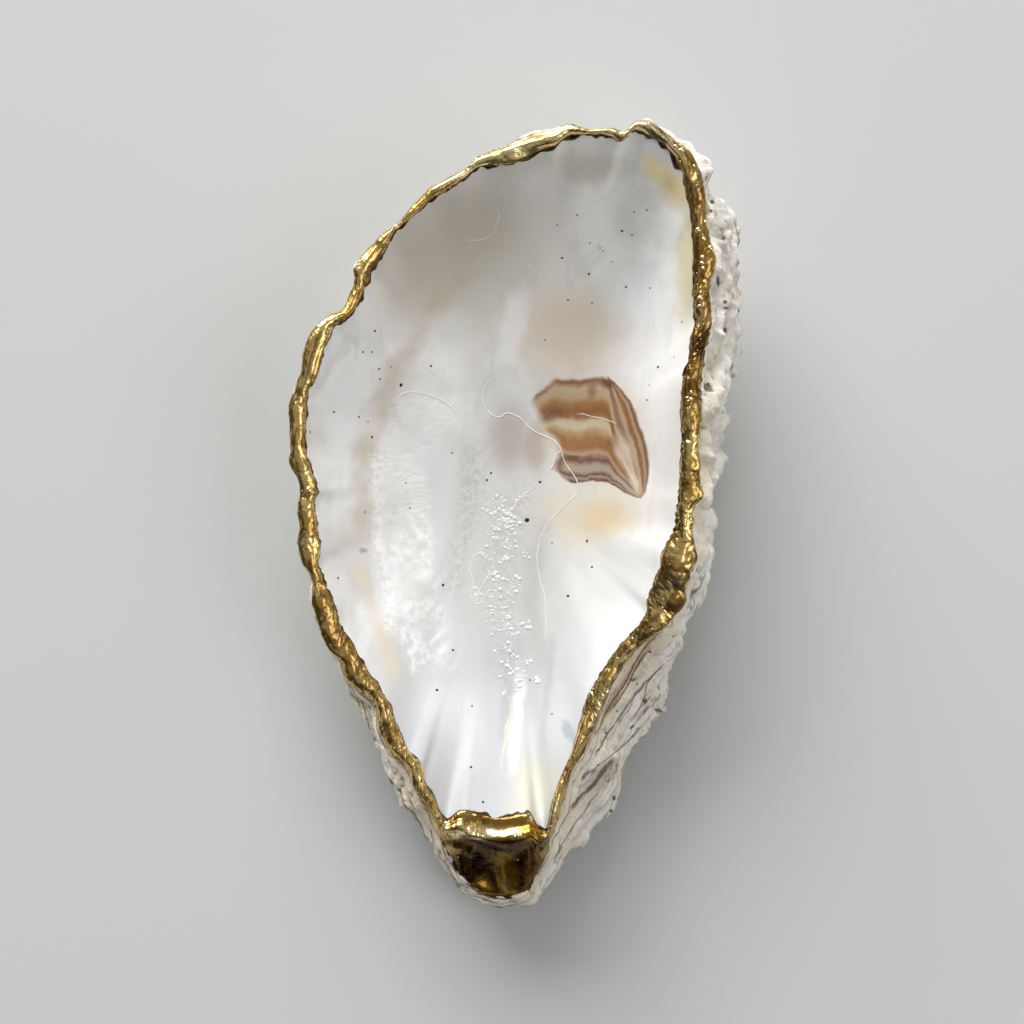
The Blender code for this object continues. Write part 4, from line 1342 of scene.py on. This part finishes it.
def beadTree():  # rounded beads on points, each as big as its point says, pressed flat along the surface
    grow = Grow("beads", {
        "Flatness": "NodeSocketFloat", "Detail": "NodeSocketInt", "Unevenness": "NodeSocketFloat",
        "Seed": "NodeSocketInt", "Material": "NodeSocketMaterial",
    })
    ball = grow.node("GeometryNodeMeshIcoSphere", None, {"Radius": 1.0, "Subdivisions": grow.given("Detail")})
    outward = grow.stored("facing", "FLOAT_VECTOR")
    facing = grow.node("FunctionNodeAlignRotationToVector", {"axis": "Z"}, {"Vector": outward})
    size = grow.stored("size")
    low = 1 - grow.given("Unevenness")
    high = 1 + grow.given("Unevenness")
    longer = grow.chance(low, high, grow.given("Seed"))
    height = size * grow.given("Flatness")
    scale = grow.node("ShaderNodeCombineXYZ", None, {0: size * longer, 1: size, 2: height})
    placed = grow.node("GeometryNodeInstanceOnPoints", None, {
        "Points": grow.given("Geometry"), "Instance": grow.wire(ball), "Rotation": grow.wire(facing),
        "Scale": grow.wire(scale),
    })
    grow.finish(grow.wire(placed))
    return grow


def threadTree():  # round threads along edges, each as thick as its points say
    grow = Grow("threads", {"Sides": "NodeSocketInt", "Material": "NodeSocketMaterial"})
    line = grow.node("GeometryNodeMeshToCurve", None, {0: grow.given("Geometry")})
    ring = {"Resolution": grow.given("Sides"), "Radius": 1.0}
    profile = grow.node("GeometryNodeCurvePrimitiveCircle", None, ring)
    tube = grow.node("GeometryNodeCurveToMesh", None, {
        "Curve": grow.wire(line), "Profile Curve": grow.wire(profile), "Scale": grow.stored("size"),
        "Fill Caps": True,
    })
    grow.finish(grow.wire(tube))
    return grow


# Dark grains caught in the shell: middle in the photograph's pixels and half-width in pixels
specks = (
    (375, 331, 1.0), (363, 352, 0.9), (372, 352, 0.8), (379, 369, 0.9), (380, 379, 0.8), (391, 367, 0.7),
    (401, 385, 1.7), (431, 366, 0.9), (334, 412, 0.9), (359, 417, 0.9), (368, 422, 0.7), (310, 432, 0.9),
    (372, 437, 1.2), (452, 453, 0.8), (406, 483, 0.8), (410, 508, 0.8), (365, 512, 0.9), (491, 473, 1.0),
    (487, 480, 0.9), (527, 520, 1.8), (507, 558, 0.9), (338, 578, 1.1), (443, 585, 1.3), (453, 650, 0.9),
    (437, 690, 1.1), (557, 225, 0.8), (622, 231, 1.0), (632, 235, 0.9), (589, 274, 1.2), (577, 215, 0.8),
    (634, 212, 0.8), (647, 210, 0.8), (590, 243, 0.8), (600, 248, 0.7), (562, 258, 0.9), (568, 300, 0.8),
    (592, 303, 0.7), (626, 287, 0.9), (650, 288, 0.8), (545, 340, 0.8), (682, 322, 1.0), (587, 541, 1.3),
    (592, 567, 0.9), (552, 543, 0.8), (540, 482, 1.1), (647, 400, 0.9), (649, 385, 0.8), (658, 367, 1.2),
    (674, 357, 0.9), (552, 714, 0.9), (471, 767, 1.3), (530, 680, 0.8), (472, 706, 0.8), (345, 633, 1.1),
    (483, 802, 1.5), (568, 596, 1.1), (603, 251, 0.7), (612, 262, 0.6),
)

# Raised white threads of shell: thickness in the photograph's pixels and the points they pass
whiteThreads = (
    (0.9, ((493, 377), (486, 385), (482, 398), (485, 408), (492, 415), (500, 417), (507, 413), (520, 418),
           (530, 428), (540, 434), (553, 440), (558, 445), (561, 450), (556, 455), (553, 465), (548, 472))),
    (0.7, ((561, 450), (564, 460), (568, 467), (573, 474), (577, 481), (578, 488), (575, 496), (568, 502),
           (560, 510), (550, 521), (542, 535), (538, 548), (537, 560), (540, 580), (545, 600), (546, 640))),
    (0.5, ((576, 414), (583, 414), (590, 416), (600, 418), (610, 421), (617, 424))),
    (0.6, ((540, 480), (534, 486), (528, 492), (520, 498), (514, 506), (505, 514))),
    (0.8, ((396, 399), (402, 394), (411, 392), (425, 394), (440, 400), (450, 406), (457, 413))),
    (0.7, ((484, 552), (474, 556), (470, 568), (473, 582), (471, 596), (477, 604), (486, 600))),
    (0.4, ((440, 352), (452, 332), (462, 318), (480, 306))),
    (0.5, ((520, 266), (526, 264), (533, 268), (538, 277), (534, 288), (528, 294))),
    (0.4, ((524, 270), (530, 276), (528, 284))),
    (0.4, ((528, 266), (533, 274), (531, 284))),
    (0.35, ((519, 272), (524, 279), (524, 290))),
    (0.5, ((462, 330), (468, 322), (476, 330), (484, 342))),
    (0.5, ((492, 206), (499, 212), (496, 226), (490, 236), (478, 240), (466, 240))),
    (0.5, ((421, 365), (430, 352), (441, 338), (452, 326))),
    (0.45, ((421, 365), (432, 372), (444, 382))),
    (0.6, ((468, 314), (478, 322), (484, 334), (489, 345))),
    (0.6, ((459, 314), (466, 324), (474, 330))),
    (0.6, ((478, 545), (486, 558), (494, 562), (488, 576), (480, 590), (475, 606))),
    (0.5, ((486, 566), (492, 580), (486, 594), (478, 604))),
)

blisters = {
    "clumps": 70,
    "inClump": 6,
    "seed": 11,
    "path": ((500, 500), (504, 530), (497, 565), (494, 590), (503, 620), (513, 650), (522, 690)),
    "spread": (11.0, 6.0),
    "clumpSize": 2.8,
    "size": (0.7, 2.4),
}


def smoothPath(points, gap=1.2):  # a curve through the points, with a point every gap
    corners = np.array(points, float)
    corners = np.vstack([2 * corners[0] - corners[1], corners, 2 * corners[-1] - corners[-2]])
    curve = []
    for before, start, end, after in zip(corners, corners[1:], corners[2:], corners[3:]):
        count = max(2, int(np.linalg.norm(end - start) / gap))
        share = np.linspace(0, 1, count, endpoint=False)[:, None]
        curve.append(bent(before, start, end, after, share))
    return np.concatenate(curve + [corners[-2:-1]])


def scatter(tree, name, spots, facing, sizes, **values):
    made = tree.run(pointMesh(name, spots, [], size=sizes, facing=facing), values)
    made.name = name
    print(name + ":", len(made.polygons), "faces")
    return made


def threadMesh(tree, surface, name, threads, **values):
    points, edges, sizes = [], [], []
    for thickness, path in threads:
        curve = smoothPath(path)
        first = len(sizes)
        ends = np.minimum(np.arange(len(curve)), np.arange(len(curve))[::-1])
        wander = 0.75 + 0.45 * noiseAt(np.column_stack([curve, 0 * curve[:, 0]]), 5.0)
        sizes += (thickness * view["pixel"] * wander * np.clip(0.15 + ends / 5, 0, 1)).tolist()
        edges += [(first + number, first + number + 1) for number in range(len(curve) - 1)]
        points.append(curve)
    spots, facing = spotsOn(surface, np.concatenate(points))
    made = tree.run(pointMesh(name, spots, edges, size=sizes), values)
    made.name = name
    print(name + ":", len(made.polygons), "faces")
    return made


def blisterPixels():
    chance = np.random.default_rng(blisters["seed"])
    path = smoothPath(blisters["path"])
    middles = path[(chance.random(blisters["clumps"]) ** 1.1 * (len(path) - 1)).astype(int)]
    middles = middles + chance.normal(0, 1, middles.shape) * blisters["spread"]
    pixels = np.repeat(middles, blisters["inClump"], axis=0)
    pixels = pixels + chance.normal(0, 1, pixels.shape) * blisters["clumpSize"]
    low, high = blisters["size"]
    return pixels, low + (high - low) * chance.random(len(pixels)) ** 2.5


# Round drops of gold on the rim: middle and half-width in the photograph's pixels
goldDrops = (
    (309, 490, 4.4), (698, 230, 3.2), (706, 222, 2.6), (704, 239, 2.6), (711, 248, 3.4), (702, 257, 2.2),
    (702, 263, 2.2), (703, 268, 2.4), (705, 282, 2.6), (691, 392, 2.2), (691, 399, 2.0), (700, 298, 2.8),
    (699, 306, 2.0), (682, 150, 3.0), (676, 146, 2.0), (694, 166, 2.0),
)
goldCrumbs = {"count": 200, "seed": 21, "size": (0.4, 1.1)}


def crumbsOn(coat, surface):  # small grains of gold, strewn over the coat
    chance = np.random.default_rng(goldCrumbs["seed"])
    lane = chance.integers(3, goldCoat["across"] - 3, goldCrumbs["count"])
    spot = lane * goldCoat["round"] + chance.integers(0, goldCoat["round"], goldCrumbs["count"])
    found = [surface["tree"].find_nearest(coat.vertices[int(number)].co) for number in spot]
    low, high = goldCrumbs["size"]
    sizes = (low + (high - low) * chance.random(goldCrumbs["count"]) ** 3) * view["pixel"]
    return np.array([hit[0] for hit in found]), np.array([hit[1] for hit in found]), sizes


def makeShell():
    mesh, middle = shellMesh()
    piece = linkPiece("oysterShell", mesh)
    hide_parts("shell")
    nacre, crust = nacreMaterial(), crustMaterial()
    for material in (nacre, nacre, crust):
        mesh.materials.append(material)
    print("shell:", len(mesh.polygons), "faces")
    surface = {"tree": treeOf(mesh), "middle": middle}
    coat = gildingMesh(surface)
    coat.materials.append(gildingMaterial())
    linkPiece("gilding", coat)
    print("gilding:", len(coat.polygons), "faces")

    beads, threads = beadTree(), threadTree()
    grain = plainMaterial("darkGrain", tint(34, 28, 24), 0.6)
    white = plainMaterial("whiteThread", tint(242, 240, 236), 0.35)
    pearl = plainMaterial("pearlBead", tint(230, 230, 228), 0.35)
    chosen = np.array(specks)
    grains = scatter(beads, "grains", *spotsOn(surface, chosen[:, :2]), chosen[:, 2] * 1.2 * view["pixel"],
                     Flatness=0.35, Detail=2, Unevenness=0.3, Seed=3, Material=grain)
    linkPiece("grains", grains)
    pixels, sizes = blisterPixels()
    raised = scatter(beads, "blisters", *spotsOn(surface, pixels), sizes * view["pixel"],
                     Flatness=0.40, Detail=2, Unevenness=0.55, Seed=5, Material=pearl)
    linkPiece("blisters", raised)
    drawn = threadMesh(threads, surface, "threads", whiteThreads, Sides=6, Material=white)
    linkPiece("threads", drawn)

    coated = {"tree": treeOf(coat), "middle": middle}
    gold = plainMaterial("goldDrop", tint(244, 220, 160), 0.16, Metallic=1.0)
    chosen = np.array(goldDrops)
    spots, facing = spotsOn(coated, chosen[:, :2])
    crumbs, crumbsFacing, crumbSizes = crumbsOn(coat, coated)
    drops = scatter(beads, "goldDrops", np.concatenate([spots, crumbs]),
                    np.concatenate([facing, crumbsFacing]),
                    np.concatenate([chosen[:, 2] * view["pixel"], crumbSizes]),
                    Flatness=0.7, Detail=2, Unevenness=0.3, Seed=8, Material=gold)
    linkPiece("goldDrops", drops)
    return middle


def makeStage(middle):
    bpy.ops.mesh.primitive_plane_add(size=4, location=(0, 0, 0))
    floor = bpy.context.object
    floor.name = "floor"
    floor.data.materials.append(plainMaterial("paleFloor", tint(194, 195, 194), 0.7))

    lens = bpy.data.cameras.new("camera")
    lens.sensor_width = 36
    frameWidth = 1024 * view["pixel"]
    lens.lens = 36 * (view["lensHeight"] - view["lipHeight"]) / frameWidth
    lens.clip_start = 0.01
    camera = bpy.data.objects.new("camera", lens)
    camera.location = (-middle[0], -middle[1], view["lensHeight"])
    bpy.context.scene.collection.objects.link(camera)
    bpy.context.scene.camera = camera


studio = {
    "windowFrom": (-0.47, 1.50, 0.71),
    "windowSize": (1.55, 1.05),
    "windowPower": 50.0,
    "glow": ((0.0, 0.0), (0.8, 0.0), (0.9, 0.1), (1.0, 0.3)),  # of the room about the window
    "ceilingFrom": (0.25, 0.35, 0.90),
    "ceiling": ((0.0, 0.06), (0.2, 0.10), (0.50, 0.36), (1.0, 0.42)),
    "fillFrom": (1.00, -0.20, 1.20),
    "fillPower": 5.5,
}


def makeLamp(name, spot, size, power):
    light = bpy.data.lights.new(name, "AREA")
    light.shape = "RECTANGLE"
    light.size, light.size_y = size
    light.energy = power
    lamp = bpy.data.objects.new(name, light)
    lamp.location = spot
    lamp.rotation_euler = Vector(spot).to_track_quat("Z", "Y").to_euler()
    bpy.context.scene.collection.objects.link(lamp)


def makeLight():  # a wide window beyond the shell's far end, in a room that is pale overhead and dark around
    makeLamp("window", studio["windowFrom"], studio["windowSize"], studio["windowPower"])
    makeLamp("fill", studio["fillFrom"], (1.0, 1.0), studio["fillPower"])

    room = bpy.data.worlds.new("room")
    room.use_nodes = True
    bpy.context.scene.world = room
    net = Net(room.node_tree)
    outward = net.wire(net.node("ShaderNodeTexCoord"), "Generated")

    def glowing(source, levels, low):
        toward = net.vector("DOT_PRODUCT", outward, tuple(Vector(source).normalized()), "Value")
        return net.ramp((toward - low) / (1 - low), [(spot, (level,) * 3) for spot, level in levels])

    glow = glowing(studio["windowFrom"], studio["glow"], -1.0)
    glow = glow + glowing(studio["ceilingFrom"], studio["ceiling"], 0.0)
    back = room.node_tree.nodes["Background"]
    room.node_tree.links.new(glow.socket, back.inputs["Strength"])
    back.inputs["Color"].default_value = (1.0, 1.0, 0.99, 1)
    bpy.context.scene.view_settings.view_transform = "Standard"


middle = makeShell()
makeStage(middle)
makeLight()
